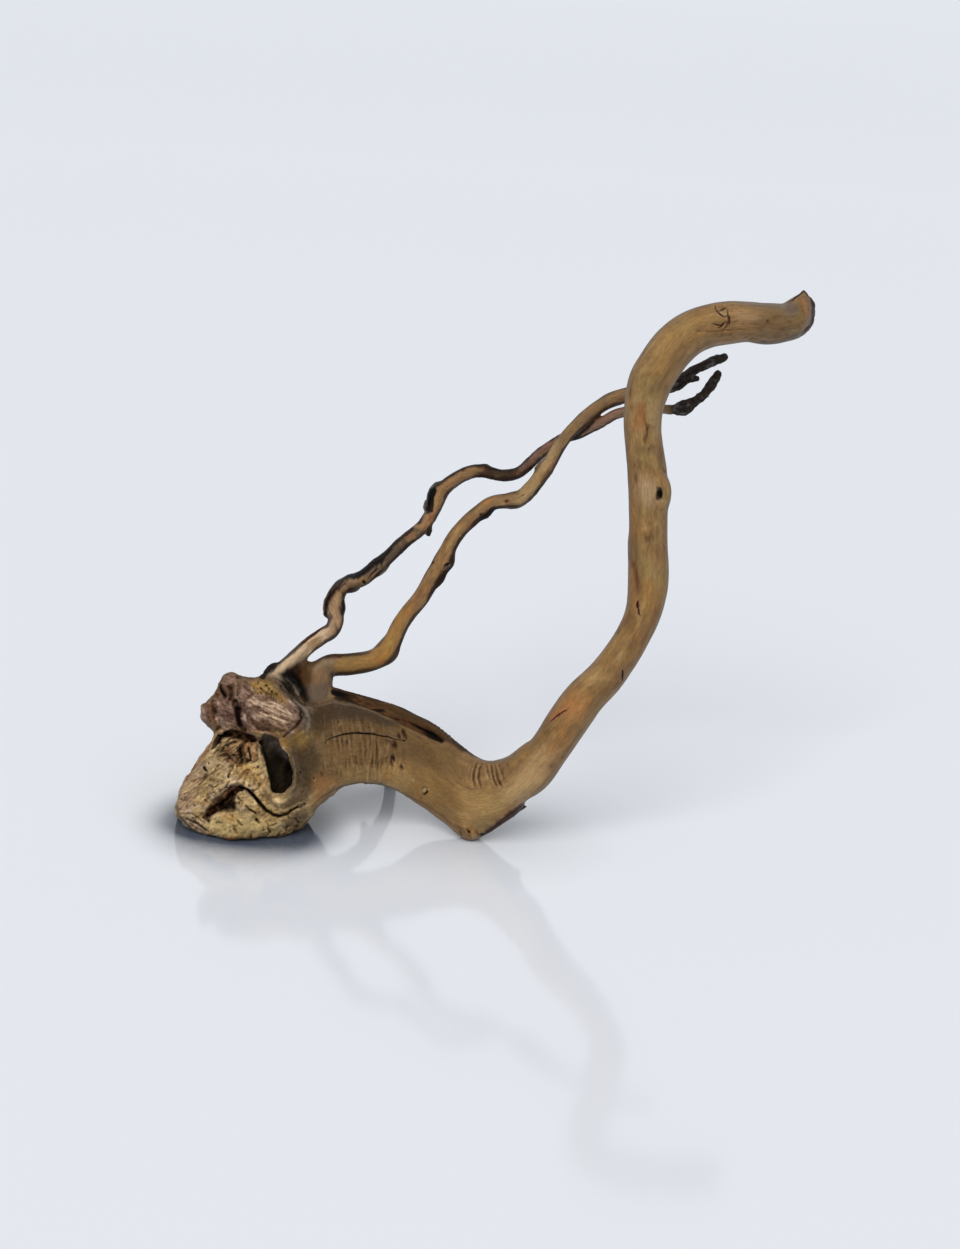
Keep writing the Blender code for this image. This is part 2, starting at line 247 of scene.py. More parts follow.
class Limb:
    """A grown limb: middle line, radius, and a frame carried along it without twist."""

    def __init__(self, name, rows, step=2.5):
        path = smooth_through(rows, step)
        self.name, self.p, self.r = name, path[:, :3], path[:, 3]
        ahead = np.gradient(self.p, axis=0)
        self.t = ahead / np.linalg.norm(ahead, axis=1)[:, None]
        self.s = np.concatenate([[0], np.cumsum(np.linalg.norm(np.diff(self.p, axis=0), axis=1))])
        a = np.array([0.31, -0.9, 0.3])
        self.a = np.empty_like(self.p)
        for k, t in enumerate(self.t):
            a = a - t * (a @ t)
            a /= np.linalg.norm(a)
            self.a[k] = a
        self.b = np.cross(self.t, self.a)


# ----------------------------------------------------------------- the grid
LOW = np.array([-54.5, -33.0, -6.0])  # mm
HIGH = np.array([390.5, 190.5, 375.0])
COUNT = np.ceil((HIGH - LOW) / CELL).astype(int) + 1
AXES = [LOW[i] + CELL * np.arange(COUNT[i], dtype=np.float32) for i in range(3)]
FAR = 24.0


def window(low, high):
    a = np.clip(np.floor((np.asarray(low) - LOW) / CELL).astype(int), 0, COUNT - 1)
    b = np.clip(np.ceil((np.asarray(high) - LOW) / CELL).astype(int) + 1, 1, COUNT)
    part = tuple(slice(int(i), int(j)) for i, j in zip(a, b))
    x, y, z = (AXES[i][part[i]].astype(np.float32) for i in range(3))
    return part, x[:, None, None], y[None, :, None], z[None, None, :]


def tube(field, limb, margin=9.0):
    """Unites a round limb with a field."""
    for k in range(len(limb.p) - 1):
        a, b, ra, rb = limb.p[k], limb.p[k + 1], limb.r[k], limb.r[k + 1]
        reach = max(ra, rb) + margin
        part, x, y, z = window(np.minimum(a, b) - reach, np.maximum(a, b) + reach)
        g = b - a
        dx, dy, dz = x - a[0], y - a[1], z - a[2]
        t = np.clip((dx * g[0] + dy * g[1] + dz * g[2]) / (g @ g), 0, 1).astype(np.float32)
        d = np.sqrt((dx - t * g[0]) ** 2 + (dy - t * g[1]) ** 2 + (dz - t * g[2]) ** 2) - (ra + t * (rb - ra))
        np.minimum(field[part], d, out=field[part])


def slab(field, rows, power=2.35, margin=9.0):
    """Unites a flattened limb, whose sections run from a lower to an upper edge, with a field."""
    path = smooth_through([[*sight(*lo), *sight(*hi), half] for lo, hi, half in rows], 2.0)
    mid, tall, half = (path[:, :3] + path[:, 3:6]) / 2, (path[:, 3:6] - path[:, :3]) / 2, path[:, 6]
    ahead = np.gradient(mid, axis=0)
    ahead /= np.linalg.norm(ahead, axis=1)[:, None]
    for k in range(len(mid) - 1):
        a, b = mid[k], mid[k + 1]
        w = (tall[k] + tall[k + 1]) / 2
        big = np.linalg.norm(w)
        w = w / big
        n = np.cross(ahead[k], w)
        n /= np.linalg.norm(n)
        t = np.cross(w, n)
        thick = (half[k] + half[k + 1]) / 2
        reach = np.abs(w) * (big + margin) + np.abs(n) * (thick + margin) + np.abs(t) * margin
        part, x, y, z = window(np.minimum(a, b) - reach, np.maximum(a, b) + reach)
        g = b - a
        dx, dy, dz = x - a[0], y - a[1], z - a[2]
        s = np.clip((dx * g[0] + dy * g[1] + dz * g[2]) / (g @ g), 0, 1).astype(np.float32)
        dx, dy, dz = dx - s * g[0], dy - s * g[1], dz - s * g[2]
        p = np.abs(dx * w[0] + dy * w[1] + dz * w[2]) / big
        q = np.abs(dx * n[0] + dy * n[1] + dz * n[2]) / thick
        e = dx * t[0] + dy * t[1] + dz * t[2]
        k0 = np.maximum((p**power + q**power) ** (1 / power), 1e-3)
        slope = np.sqrt((p ** (power - 1) / big) ** 2 + (q ** (power - 1) / thick) ** 2) / k0 ** (power - 1)
        d = (k0 - 1) / np.maximum(slope, 1e-3)
        d = np.where(d > 0, np.sqrt(d * d + e * e), np.maximum(d, np.abs(e) - 1.5))
        np.minimum(field[part], d.astype(np.float32), out=field[part])
    return mid, tall, half


def lump_distance(x, y, z, middle, half, turn):
    if turn is None:
        m, lean, turn = np.array(middle, float), 0.0, 0.0
    else:
        m, lean = sight(*middle), FACE_LEAN
    rot = np.array((Matrix.Rotation(-lean, 3, "X") @ Matrix.Rotation(-math.radians(turn), 3, "Y")))
    ax, ay, az = rot[:, 0], rot[:, 1], rot[:, 2]
    dx, dy, dz = x - m[0], y - m[1], z - m[2]
    px = (dx * ax[0] + dy * ax[1] + dz * ax[2]) / half[0]
    py = (dx * ay[0] + dy * ay[1] + dz * ay[2]) / half[2]
    pz = (dx * az[0] + dy * az[1] + dz * az[2]) / half[1]
    k0 = np.sqrt(px * px + py * py + pz * pz)
    k1 = np.sqrt((px / half[0]) ** 2 + (py / half[2]) ** 2 + (pz / half[1]) ** 2)
    return (k0 * (k0 - 1) / np.maximum(k1, 1e-4)).astype(np.float32)


def merge(a, b, k):
    """Smooth union."""
    h = np.maximum(k - np.abs(a - b), 0) / k
    return np.minimum(a, b) - h * h * k * 0.25


def cut(a, b, k):
    """Smooth cut of b out of a."""
    h = np.maximum(k - np.abs(a + b), 0) / k
    return np.maximum(a, -b) + h * h * k * 0.25


def clip(a, b, k):
    """Smooth overlap of a and b."""
    h = np.maximum(k - np.abs(a - b), 0) / k
    return np.maximum(a, b) + h * h * k * 0.25


def nets(field):
    """Points and four-cornered faces of the surface where the field is 0."""
    inside = (field < 0).astype(np.uint8)
    total = np.zeros(tuple(np.array(field.shape) - 1), np.uint8)
    for dx in (0, 1):
        for dy in (0, 1):
            for dz in (0, 1):
                total += inside[dx : dx + total.shape[0], dy : dy + total.shape[1], dz : dz + total.shape[2]]
    ci, cj, ck = np.nonzero((total > 0) & (total < 8))
    index = np.full(total.shape, -1, np.int32)
    index[ci, cj, ck] = np.arange(len(ci), dtype=np.int32)
    corner = {}
    for dx in (0, 1):
        for dy in (0, 1):
            for dz in (0, 1):
                corner[dx, dy, dz] = field[ci + dx, cj + dy, ck + dz]
    place = np.zeros((len(ci), 3))
    hits = np.zeros(len(ci))
    for a in corner:
        for axis in range(3):
            if a[axis]:
                continue
            b = list(a)
            b[axis] = 1
            fa, fb = corner[a], corner[tuple(b)]
            crosses = (fa < 0) != (fb < 0)
            t = np.where(crosses, fa / np.where(crosses, fa - fb, 1), 0)
            spot = np.array(a, float)[None, :] + t[:, None] * np.eye(3)[axis][None, :]
            place += spot * crosses[:, None]
            hits += crosses
    place = place / hits[:, None] + np.stack([ci, cj, ck], 1)
    points = LOW + place * CELL
    faces = []
    for axis in range(3):
        a = [slice(0, -1) if i == axis else slice(1, -1) for i in range(3)]
        b = [slice(1, None) if i == axis else slice(1, -1) for i in range(3)]
        fa, fb = inside[tuple(a)], inside[tuple(b)]
        i, j, k = np.nonzero(fa != fb)
        flip = fa[i, j, k] == 0
        base = np.stack([i, j, k], 1)
        for m in range(3):
            if m != axis:
                base[:, m] += 1
        p, q = [m for m in range(3) if m != axis]
        quad = []
        for op, oq in ((-1, -1), (0, -1), (0, 0), (-1, 0)):
            c = base.copy()
            c[:, p] += op
            c[:, q] += oq
            quad.append(index[c[:, 0], c[:, 1], c[:, 2]])
        quad = np.stack(quad, 1)
        turn = flip if axis != 1 else ~flip
        quad[turn] = quad[turn][:, ::-1]
        faces.append(quad)
    return points, np.concatenate(faces)


def untangle(field):
    """Fills the few grid corners where two sheets of the surface would share an edge."""
    corners = ((0, 0), (1, 0), (0, 1), (1, 1))
    for _ in range(5):
        inside, found = field < 0, 0
        for p, q in ((0, 1), (0, 2), (1, 2)):
            part = []
            for i, j in corners:
                s = [slice(None)] * 3
                s[p], s[q] = slice(i, field.shape[p] - 1 + i), slice(j, field.shape[q] - 1 + j)
                part.append(inside[tuple(s)])
            spots = np.nonzero((part[0] == part[3]) & (part[1] == part[2]) & (part[0] != part[1]))
            found += len(spots[0])
            for i, j in corners:
                at = list(spots)
                at[p], at[q] = at[p] + i, at[q] + j
                field[tuple(at)] = np.minimum(field[tuple(at)], -0.02)
        if not found:
            break


def outer(points, quads):
    """Leaves out the small bubbles inside the wood."""
    a, b = quads.ravel().astype(np.int64), np.roll(quads, -1, 1).ravel().astype(np.int64)
    edge = np.minimum(a, b) * len(points) + np.maximum(a, b)
    order = np.argsort(edge, kind="stable")
    same = edge[order[1:]] == edge[order[:-1]]
    a, b = order[1:][same] // 4, order[:-1][same] // 4
    root = np.arange(len(quads))
    while True:
        one, two = root[a], root[b]
        apart = one != two
        if not apart.any():
            break
        np.minimum.at(root, np.maximum(one, two)[apart], np.minimum(one, two)[apart])
        while (root[root] != root).any():
            root = root[root]
    used, quads = np.unique(quads[root == np.bincount(root).argmax()], return_inverse=True)
    return points[used], quads.reshape(-1, 4)


def relax(points, quads, rounds):
    """Evens out the steps that the grid leaves in the surface."""
    a = quads.ravel()
    b = quads[:, [1, 2, 3, 0]].ravel()
    count = np.bincount(a, minlength=len(points)) + np.bincount(b, minlength=len(points))
    for _ in range(rounds):
        total = np.stack([np.bincount(a, points[b, i], len(points)) + np.bincount(b, points[a, i], len(points)) for i in range(3)], 1)
        points = points * 0.4 + 0.6 * total / count[:, None]
    return points


# --------------------------------------------------------------- drawn relief
class Sheet:
    """Heights (mm) or tones drawn with strokes on a rectangle of the sight plane."""

    def __init__(self, u0, v0, u1, v1, step=0.5, ragged=1.6, seed=5):
        self.u0, self.v0, self.step = u0, v0, step
        self.u, self.v = np.meshgrid(np.arange(u0, u1, step), np.arange(v0, v1, step), indexing="ij")
        flat = np.stack([self.u.ravel() / 7.0, self.v.ravel() / 7.0, np.zeros(self.u.size)], 1)
        shape = self.u.shape
        self.wu = self.u + ragged * fbm(flat, 4, seed).reshape(shape)
        self.wv = self.v + ragged * fbm(flat + 31.7, 4, seed + 1).reshape(shape)
        self.h = np.zeros(shape)

    def reach(self, points):
        """Distance to a polyline (points of the plane) and how far along it, 0 to 1."""
        pts = np.asarray(points, float)
        if len(pts) == 1:
            return np.hypot(self.wu - pts[0, 0], self.wv - pts[0, 1]), np.zeros_like(self.wu)
        best, along = np.full(self.u.shape, 1e9), np.zeros(self.u.shape)
        length = np.concatenate([[0], np.cumsum(np.linalg.norm(np.diff(pts, axis=0), axis=1))])
        for k in range(len(pts) - 1):
            g = pts[k + 1] - pts[k]
            t = np.clip(((self.wu - pts[k, 0]) * g[0] + (self.wv - pts[k, 1]) * g[1]) / (g @ g), 0, 1)
            d = np.hypot(self.wu - pts[k, 0] - t * g[0], self.wv - pts[k, 1] - t * g[1])
            better = d < best
            best = np.where(better, d, best)
            along = np.where(better, (length[k] + t * (length[k + 1] - length[k])) / length[-1], along)
        return best, along

    def within(self, outline):
        """Signed distance to a closed outline, positive inside."""
        pts = np.asarray(outline, float)
        inside = np.zeros(self.u.shape, bool)
        n = len(pts)
        for k in range(n):
            (x0, y0), (x1, y1) = pts[k], pts[(k + 1) % n]
            crosses = (y0 > self.wv) != (y1 > self.wv)
            with np.errstate(divide="ignore", invalid="ignore"):
                x = (x1 - x0) * (self.wv - y0) / (y1 - y0) + x0
            inside ^= crosses & (self.wu < x)
        d, _ = self.reach(np.vstack([pts, pts[:1]]))
        return np.where(inside, d, -d)

    def bump(self, points, width, height):
        d, _ = self.reach(points)
        self.h += height * np.exp(-((d / width) ** 2))

    def crack(self, points, width, depth, taper=0.0):
        d, t = self.reach(points)
        w = width * (1 - taper * np.abs(2 * t - 1) ** 2)
        self.h -= depth * ramp(d, w, w * 0.25) * (1 - 0.7 * taper * np.abs(2 * t - 1) ** 3)

    def patch(self, outline, height, soft=2.0):
        self.h += height * ramp(self.within(outline), -soft, soft)

    def level(self, outline, height, soft=2.0):
        """Brings what is inside the outline to one height."""
        k = ramp(self.within(outline), -soft, soft)
        self.h = self.h * (1 - k) + height * k

    def read(self, u, v):
        i = np.clip((u - self.u0) / self.step, 0, self.h.shape[0] - 1.001)
        j = np.clip((v - self.v0) / self.step, 0, self.h.shape[1] - 1.001)
        i0, j0 = i.astype(int), j.astype(int)
        fi, fj = i - i0, j - j0
        h = self.h
        return ((h[i0, j0] * (1 - fi) + h[i0 + 1, j0] * fi) * (1 - fj)
                + (h[i0, j0 + 1] * (1 - fi) + h[i0 + 1, j0 + 1] * fi) * fj)


def big(*points):
    """Points of the burl's drawing, which is seven times larger than the sight plane."""
    return [(160 + x / 7.128, 640 + y / 7.128) for x, y in points]


HOLLOW = big((704, 738), (735, 720), (790, 730), (850, 715), (885, 745), (915, 810), (938, 880), (946, 960),
             (937, 1040), (905, 1082), (850, 1094), (800, 1066), (776, 1010), (768, 930), (742, 880), (722, 830))
UPPER_FACE = big((395, 400), (440, 300), (470, 235), (520, 235), (590, 265), (700, 280), (780, 310), (850, 360),
                 (920, 430), (965, 490), (990, 560), (930, 640), (860, 700), (820, 680), (760, 700), (640, 690),
                 (560, 670), (470, 660), (390, 650), (330, 610), (290, 520), (300, 440), (360, 420))
LOWER_FACE = big((395, 740), (440, 700), (560, 690), (690, 720), (700, 850), (750, 900), (762, 970), (735, 1010),
                 (740, 1090), (800, 1180), (850, 1215), (850, 1250), (950, 1205), (1030, 1170), (1060, 1230),
                 (1040, 1300), (900, 1380), (800, 1420), (500, 1420), (300, 1400), (180, 1290), (100, 1250),
                 (110, 1150), (150, 1020), (230, 900), (320, 790))
CAVITY = big((330, 1200), (400, 1128), (465, 1080), (500, 1040), (570, 1032), (596, 1062), (552, 1092),
             (530, 1150), (548, 1200), (480, 1216), (410, 1206), (392, 1242), (334, 1284), (298, 1268))


SPLINTERS = big((400, 800), (430, 735), (480, 706), (560, 700), (640, 706), (690, 730), (700, 850), (650, 876), (560, 896), (470, 860), (410, 850))
FISSURE = big((560, 1046), (620, 1066), (664, 1108), (712, 1162), (760, 1215), (805, 1246), (852, 1256), (905, 1240), (952, 1200), (985, 1182))


def burl_relief():
    """Heights of the burl's torn front over its lumps, and how torn it is."""
    r = Sheet(160, 650, 345, 860)
    torn = Sheet(160, 650, 345, 860, seed=5)
    torn.patch(UPPER_FACE, 1.0, 1.2)
    torn.patch(LOWER_FACE, 1.0, 1.2)
    torn.h = np.clip(torn.h, 0, 1)

    # upper stub: a mass on the right with a crest, a knob and a side knob on the left, a deep fold between
    r.patch(big((590, 330), (700, 290), (800, 320), (900, 400), (985, 500), (990, 570), (930, 650), (840, 690), (720, 680), (620, 640), (580, 560), (590, 440)), 4.2, 4.5)
    r.bump(big((640, 455), (730, 440), (830, 475), (930, 535)), 5, 2.6)
    r.crack(big((640, 395), (740, 388), (840, 420), (900, 470)), 3.6, 1.8)
    r.bump(big((690, 560), (780, 590), (860, 610)), 5, 1.8)
    r.crack(big((620, 540), (700, 620), (800, 650), (880, 640)), 3.4, 2.4)
    r.bump(big((490, 290), (540, 300)), 7.5, 3.2)
    r.crack(big((440, 330), (446, 372), (462, 400)), 3.4, 4.2)
    r.crack(big((496, 340), (520, 380), (500, 420)), 3.2, 2.6)
    r.crack(big((555, 270), (575, 330), (560, 390)), 3.2, 2.2)
    r.bump(big((325, 470), (330, 560)), 5.5, 2.6)
    r.crack(big((390, 400), (385, 470), (400, 540), (420, 620)), 4.4, 4.4)
    r.bump(big((460, 450), (470, 560), (500, 620)), 5, 2.4)
    r.crack(big((536, 440), (552, 510), (566, 590), (600, 640)), 4.4, 6.0)
    r.bump(big((600, 420), (610, 500)), 4, 1.4)
    r.bump(big((600, 350), (700, 330), (780, 350)), 5, 1.6)
    for j in range(12):
        x = 672 + 17 * j
        r.crack(big((x, 326 + 9 * (j % 3) + 4 * j), (x + 5, 372 + 9 * (j % 2) + 6 * j)), 1.1, 1.6, 0.5)
    # collar of smooth wood round the torn upper stub
    r.bump(big((850, 262), (920, 310), (985, 390), (1030, 470), (1052, 560), (1020, 650)), 6, 2.4)
    r.crack(big((860, 330), (930, 400), (990, 480), (1012, 560)), 2.6, 2.4)
    r.crack(big((1000, 520), (998, 570), (965, 615), (912, 655), (880, 690)), 2.2, 3.6, 0.4)
    # splintered top of the lower stub
    r.patch(SPLINTERS, -2.6, 3.0)
    r.patch(big((604, 738), (684, 728), (690, 850), (660, 866), (626, 846), (600, 800)), 4.6, 1.6)
    r.crack(big((632, 770), (650, 858)), 1.3, 3.0)
    r.crack(big((575, 780), (585, 870)), 2.4, 4.0)
    r.crack(big((480, 760), (540, 730)), 2.6, 3.6)
    r.crack(big((430, 830), (500, 800), (560, 850)), 2.2, 3.2)
    r.bump(big((420, 700), (395, 760), (360, 820)), 2.6, 2.8)
    # lower stub
    r.bump(big((560, 940), (680, 920), (740, 980)), 8, 2.6)
    r.crack(big((420, 900), (520, 930), (560, 985)), 4, 1.6)
    r.bump(big((250, 960), (330, 900), (420, 960)), 7, 1.8)
    r.bump(big((200, 1090), (300, 1030), (380, 1060)), 7, 1.8)
    r.crack(big((250, 1010), (340, 980), (440, 1010)), 3, 1.6)
    r.crack(big((312, 900), (330, 932)), 2.2, 3.6)
    r.crack(big((498, 935), (490, 975)), 1.3, 2.4)
    r.crack(big((466, 1052), (500, 1006)), 1.3, 2.4)
    r.bump(big((380, 1110), (440, 1040), (520, 1000), (600, 1010), (680, 1060), (730, 1130)), 4.0, 3.4)
    r.patch(big((320, 1230), (390, 1128), (465, 1078), (500, 1042), (570, 1034), (596, 1064), (556, 1096), (540, 1150), (556, 1212), (480, 1236), (410, 1230), (340, 1290), (300, 1270)), -4.6, 1.4)
    r.crack(FISSURE, 2.4, 6.4, 0.5)
    r.bump(big((520, 1051)), 3.4, 2.6)
    for x0, y0, x1, y1, w, d in ((440, 1092, 414, 1048, 1.5, 2.4), (352, 1170, 316, 1136, 1.4, 2.0), (596, 1046, 606, 990, 1.3, 2.0), (400, 1126, 376, 1110, 1.3, 1.6),
                                 (640, 1086, 676, 1066, 1.2, 1.6), (706, 1156, 742, 1140, 1.2, 1.6), (560, 1100, 556, 1140, 1.4, 2.0), (590, 1080, 600, 1120, 1.2, 1.6)):
        r.crack(big((x0, y0), (x1, y1)), w, d, 0.5)
    for x, y, w, h in ((420, 1098, 2.4, 1.8), (372, 1140, 2.2, 1.6), (470, 1066, 2.2, 1.4), (330, 1190, 2.4, 1.4), (630, 1070, 2.4, 1.4), (690, 1120, 2.2, 1.2), (590, 1140, 2.6, 1.4), (620, 1170, 2.2, 1.2)):
        r.bump(big((x, y)), w, h)
    r.bump(big((486, 1075), (450, 1105)), 2.2, 1.8)
    r.crack(big((985, 1190), (1030, 1166)), 1.4, 2.4)
    r.crack(big((608, 1178), (640, 1208), (684, 1232)), 1.2, 3.2, 0.5)
    r.bump(big((590, 1120), (604, 1180)), 5, 3.0)
    for x, y, w, h in ((380, 1180, 2.0, 2.2), (420, 1200, 1.6, 2.0), (470, 1170, 2.2, 1.8), (505, 1110, 1.8, 2.0), (450, 1130, 1.6, 1.6), (350, 1230, 2.0, 2.0), (540, 1080, 1.8, 2.0), (400, 1150, 1.4, 1.8)):
        r.bump(big((x, y)), w, h)
    r.crack(big((185, 1272), (240, 1292), (300, 1330), (345, 1366)), 1.7, 2.0, 0.5)
    r.crack(big((150, 1230), (230, 1240), (300, 1290)), 1.6, 2.2)
    r.bump(big((300, 1310), (420, 1330), (560, 1310), (700, 1330)), 5, 1.8)
    for x, y, h in ((180, 1240, 2.0), (250, 1340, 2.2), (350, 1395, 2.2), (470, 1390, 1.6), (590, 1360, 1.8), (700, 1380, 2.0), (840, 1330, 1.6), (930, 1300, 1.4), (1010, 1230, 1.4), (1000, 1290, 1.2)):
        r.bump(big((x, y)), 5.4, h)
    for x, y in ((215, 1300), (300, 1385), (420, 1400), (530, 1350), (640, 1395), (770, 1345), (885, 1335), (690, 1275), (970, 1270), (560, 1290)):
        r.crack(big((x, y), (x + 16, y + 24)), 2.2, 2.8)
    # lip round the hollow
    r.bump(big((730, 1000), (770, 1100), (830, 1152), (900, 1158), (968, 1110), (1004, 1010), (990, 900), (955, 800)), 4.6, 2.6)
    # roughness of torn wood: steps, fibre bundles and cracks
    crack = Sheet(160, 650, 345, 860, seed=5)
    u, v = r.wu.ravel(), r.wv.ravel()
    flat = np.stack([u / 7.0, v / 7.0, 0 * u], 1)
    warp = 2.4 * fbm(flat * 0.7, 3, 44)

    def slanted(turn, along, across):
        c, d = math.cos(math.radians(turn)), math.sin(math.radians(turn))
        return np.stack([(c * u + d * v + warp) / along, (c * v - d * u + warp) / across, 0 * u], 1)

    upper = ramp(-(v - 737), -6, 6)
    splinter = ramp(r.within(SPLINTERS).ravel(), -2, 3)
    low_split = ridged(slanted(-34, 15, 5.0), 3, 41)
    top_split = ridged(slanted(30, 13, 4.4), 3, 42)
    near, second, name = cells(slanted(-34, 13, 8), 51)
    near, second, top_name = cells(slanted(30, 10, 6), 52)
    low = 1.1 * fbm(flat * 1.1, 3, 45) + 1.3 * (name - 0.5) + 0.5 * fbm(slanted(-34, 9, 2.6), 2, 46) - 1.0 * ramp(low_split, 0.58, 0.9)
    top = 1.4 * fbm(flat * 1.1, 3, 47) + 1.4 * (top_name - 0.5) + 1.3 * fbm(slanted(24, 13, 2.3), 3, 48) - 0.8 * ramp(top_split, 0.58, 0.9)
    chips = 1.5 * fbm(slanted(-52, 12, 1.9), 3, 49) + 0.6 * fbm(slanted(20, 5, 3.2), 2, 50)
    rough = (low * (1 - upper) + top * upper) * (1 - splinter) + (low * 0.5 + chips) * splinter
    r.h += (torn.h.ravel() * rough).reshape(r.h.shape)
    lines_of = ramp(low_split, 0.56, 0.84) * (1 - upper) * (1 - splinter) + ramp(top_split, 0.6, 0.85) * 0.6 * upper + ramp(-chips, 0.2, 0.6) * 0.8 * splinter
    crack.h = (torn.h.ravel() * lines_of).reshape(r.h.shape)
    return r, torn, crack


def lines(scale, u0, v0, points):
    return [(u0 + x / scale, v0 + y / scale) for x, y in points]


def arch(*points):
    """Points of the arch's drawing, 5.6 times larger than the sight plane."""
    return lines(5.6, 280, 660, points)


CREASES = []
for _k in range(34):
    _h = np.random.default_rng(900 + _k).random(6)
    _x = 178 + 14.2 * _k + 6 * _h[0]
    _top = 300 + 190 * _h[1] + (40 if _k > 17 else 0)
    _low = min(_top + 70 + 190 * _h[2], 672)
    _lean = 10 + 22 * _h[3]
    CREASES.append((arch(*[(_x + _lean * t * (1.15 - 0.4 * t), _top + (_low - _top) * t) for t in (0, 0.33, 0.66, 1)]), _h[4]))
ELBOW_CREASES = [(arch(*line), strong) for line, strong in (
    (((1076, 590), (1066, 630), (1060, 676)), 0.55), (((1104, 574), (1086, 620), (1082, 664), (1092, 712)), 0.9),
    (((1132, 580), (1116, 616), (1112, 660), (1128, 716)), 1.05), (((1160, 594), (1166, 630), (1177, 668)), 0.7),
    (((1181, 580), (1186, 622), (1196, 664), (1214, 706)), 1.1), (((1204, 588), (1212, 634), (1226, 680), (1246, 724)), 1.0),
    (((1224, 580), (1232, 610), (1242, 640)), 0.8), (((1244, 592), (1246, 634), (1256, 680)), 0.6), (((1272, 574), (1276, 600), (1280, 626)), 0.4))]
SPLIT = arch((255, 464), (262, 450), (292, 434), (350, 415), (402, 409), (450, 408), (520, 414), (575, 424), (640, 442), (700, 452))


def arch_relief():
    """Heights of the arch: its folded top edge, creases and elbow."""
    r = Sheet(284, 650, 565, 850, ragged=1.0, seed=9)
    r.bump(arch((200, 266), (290, 250), (400, 272), (470, 296), (600, 342), (720, 400), (820, 448)), 3.4, 0.8)
    trough = arch((285, 150), (330, 158), (420, 190), (520, 222), (620, 262), (800, 352), (900, 400), (925, 440),
                  (905, 458), (820, 420), (720, 370), (600, 310), (470, 265), (400, 240), (285, 214))
    r.patch(trough, -1.6, 3.0)
    for line, h in CREASES:
        r.crack(line, 1.5, 0.2 + 0.35 * h, 0.6)
        r.bump([(x + 2.2, y) for x, y in line], 1.3, 0.2 + 0.3 * h)
    for line, strong in ELBOW_CREASES:
        r.crack(line, 1.9, 1.05 * strong, 0.7)
        r.bump([(x - 2.3, y) for x, y in line], 1.5, 0.45 * strong)
    for x, y, w, d in ((640, 480, 3.4, 1.2), (628, 552, 3.2, 1.5), (690, 402, 2.8, 1.0), (680, 600, 2.2, 0.8), (662, 424, 2.2, 0.9)):
        r.crack(arch((x, y), (x + 6, y + 16)), w, d)
    r.crack(arch((808, 752), (824, 740), (822, 726)), 1.6, 1.2)
    for x, y, w, h in ((1035, 950, 3.4, 1.2), (1080, 975, 2.6, 1.2), (1120, 985, 2.2, 1.0), (1150, 960, 2.6, 1.0), (1000, 925, 2.6, 0.8), (985, 690, 4.0, 0.6), (900, 700, 5.0, 0.7)):
        r.bump(arch((x, y)), w, h)
    for x, y in ((1010, 962), (1100, 962), (1134, 978), (1062, 985)):
        r.crack(arch((x, y), (x + 8, y + 14)), 1.8, 1.6)
    r.crack(arch((1050, 952), (1062, 966)), 1.8, 2.0)
    bark = arch((1130, 972), (1165, 960), (1200, 944), (1236, 914), (1246, 880), (1290, 858), (1330, 826), (1376, 800), (1392, 812), (1390, 850), (1330, 880), (1280, 920), (1250, 950), (1180, 1000))
    r.patch(bark, 1.1, 1.0)
    flat = np.stack([r.u.ravel() / 16.0, r.v.ravel() / 16.0, np.zeros(r.u.size)], 1)
    r.h += (1.0 * fbm(flat, 4, 67)).reshape(r.h.shape)
    strands = ramp(r.within(trough), -1, 2)
    along = np.stack([(r.wu + r.wv * 0.5).ravel() / 12.0, (r.wv - 0.47 * r.wu).ravel() / 1.8, np.zeros(r.u.size)], 1)
    r.h += (0.7 * fbm(along, 3, 69)).reshape(r.h.shape) * strands
    return r


def front_of(field, u, v):
    """How far back (mm) the sight line through (u, v) first meets the wood."""
    back = np.arange(LOW[1] + 1, HIGH[1] - 1, 0.4)
    p = np.array([sight(u, v, y) for y in back])
    i = np.clip(np.round((p - LOW) / CELL).astype(int), 0, COUNT - 1)
    hit = np.nonzero(field[i[:, 0], i[:, 1], i[:, 2]] < 0)[0]
    return back[hit[0]] if len(hit) else None


def groove(field, rows, soft=1.5):
    """Cuts a round groove along a line of the sight plane: right, down, radius (points), how deep its middle lies (mm)."""
    deep = [front_of(field, u, v) for u, v, r, sink in rows]
    known = [k for k, y in enumerate(deep) if y is not None]
    deep = np.interp(range(len(rows)), known, [deep[k] for k in known])
    limb = Limb("groove", seen([(u, v, y + sink, r) for (u, v, r, sink), y in zip(rows, deep)]), 1.0)
    reach = limb.r.max() + 12
    part, x, y, z = window(limb.p.min(0) - reach, limb.p.max(0) + reach)
    hole = np.full(field[part].shape, FAR, np.float32)
    for k in range(len(limb.p) - 1):
        a, b, ra, rb = limb.p[k], limb.p[k + 1], limb.r[k], limb.r[k + 1]
        g = b - a
        dx, dy, dz = x - a[0], y - a[1], z - a[2]
        t = np.clip((dx * g[0] + dy * g[1] + dz * g[2]) / (g @ g), 0, 1).astype(np.float32)
        d = np.sqrt((dx - t * g[0]) ** 2 + (dy - t * g[1]) ** 2 + (dz - t * g[2]) ** 2) - (ra + t * (rb - ra))
        hole = np.minimum(hole, d)
    field[part] = cut(field[part], hole, soft)
    return limb


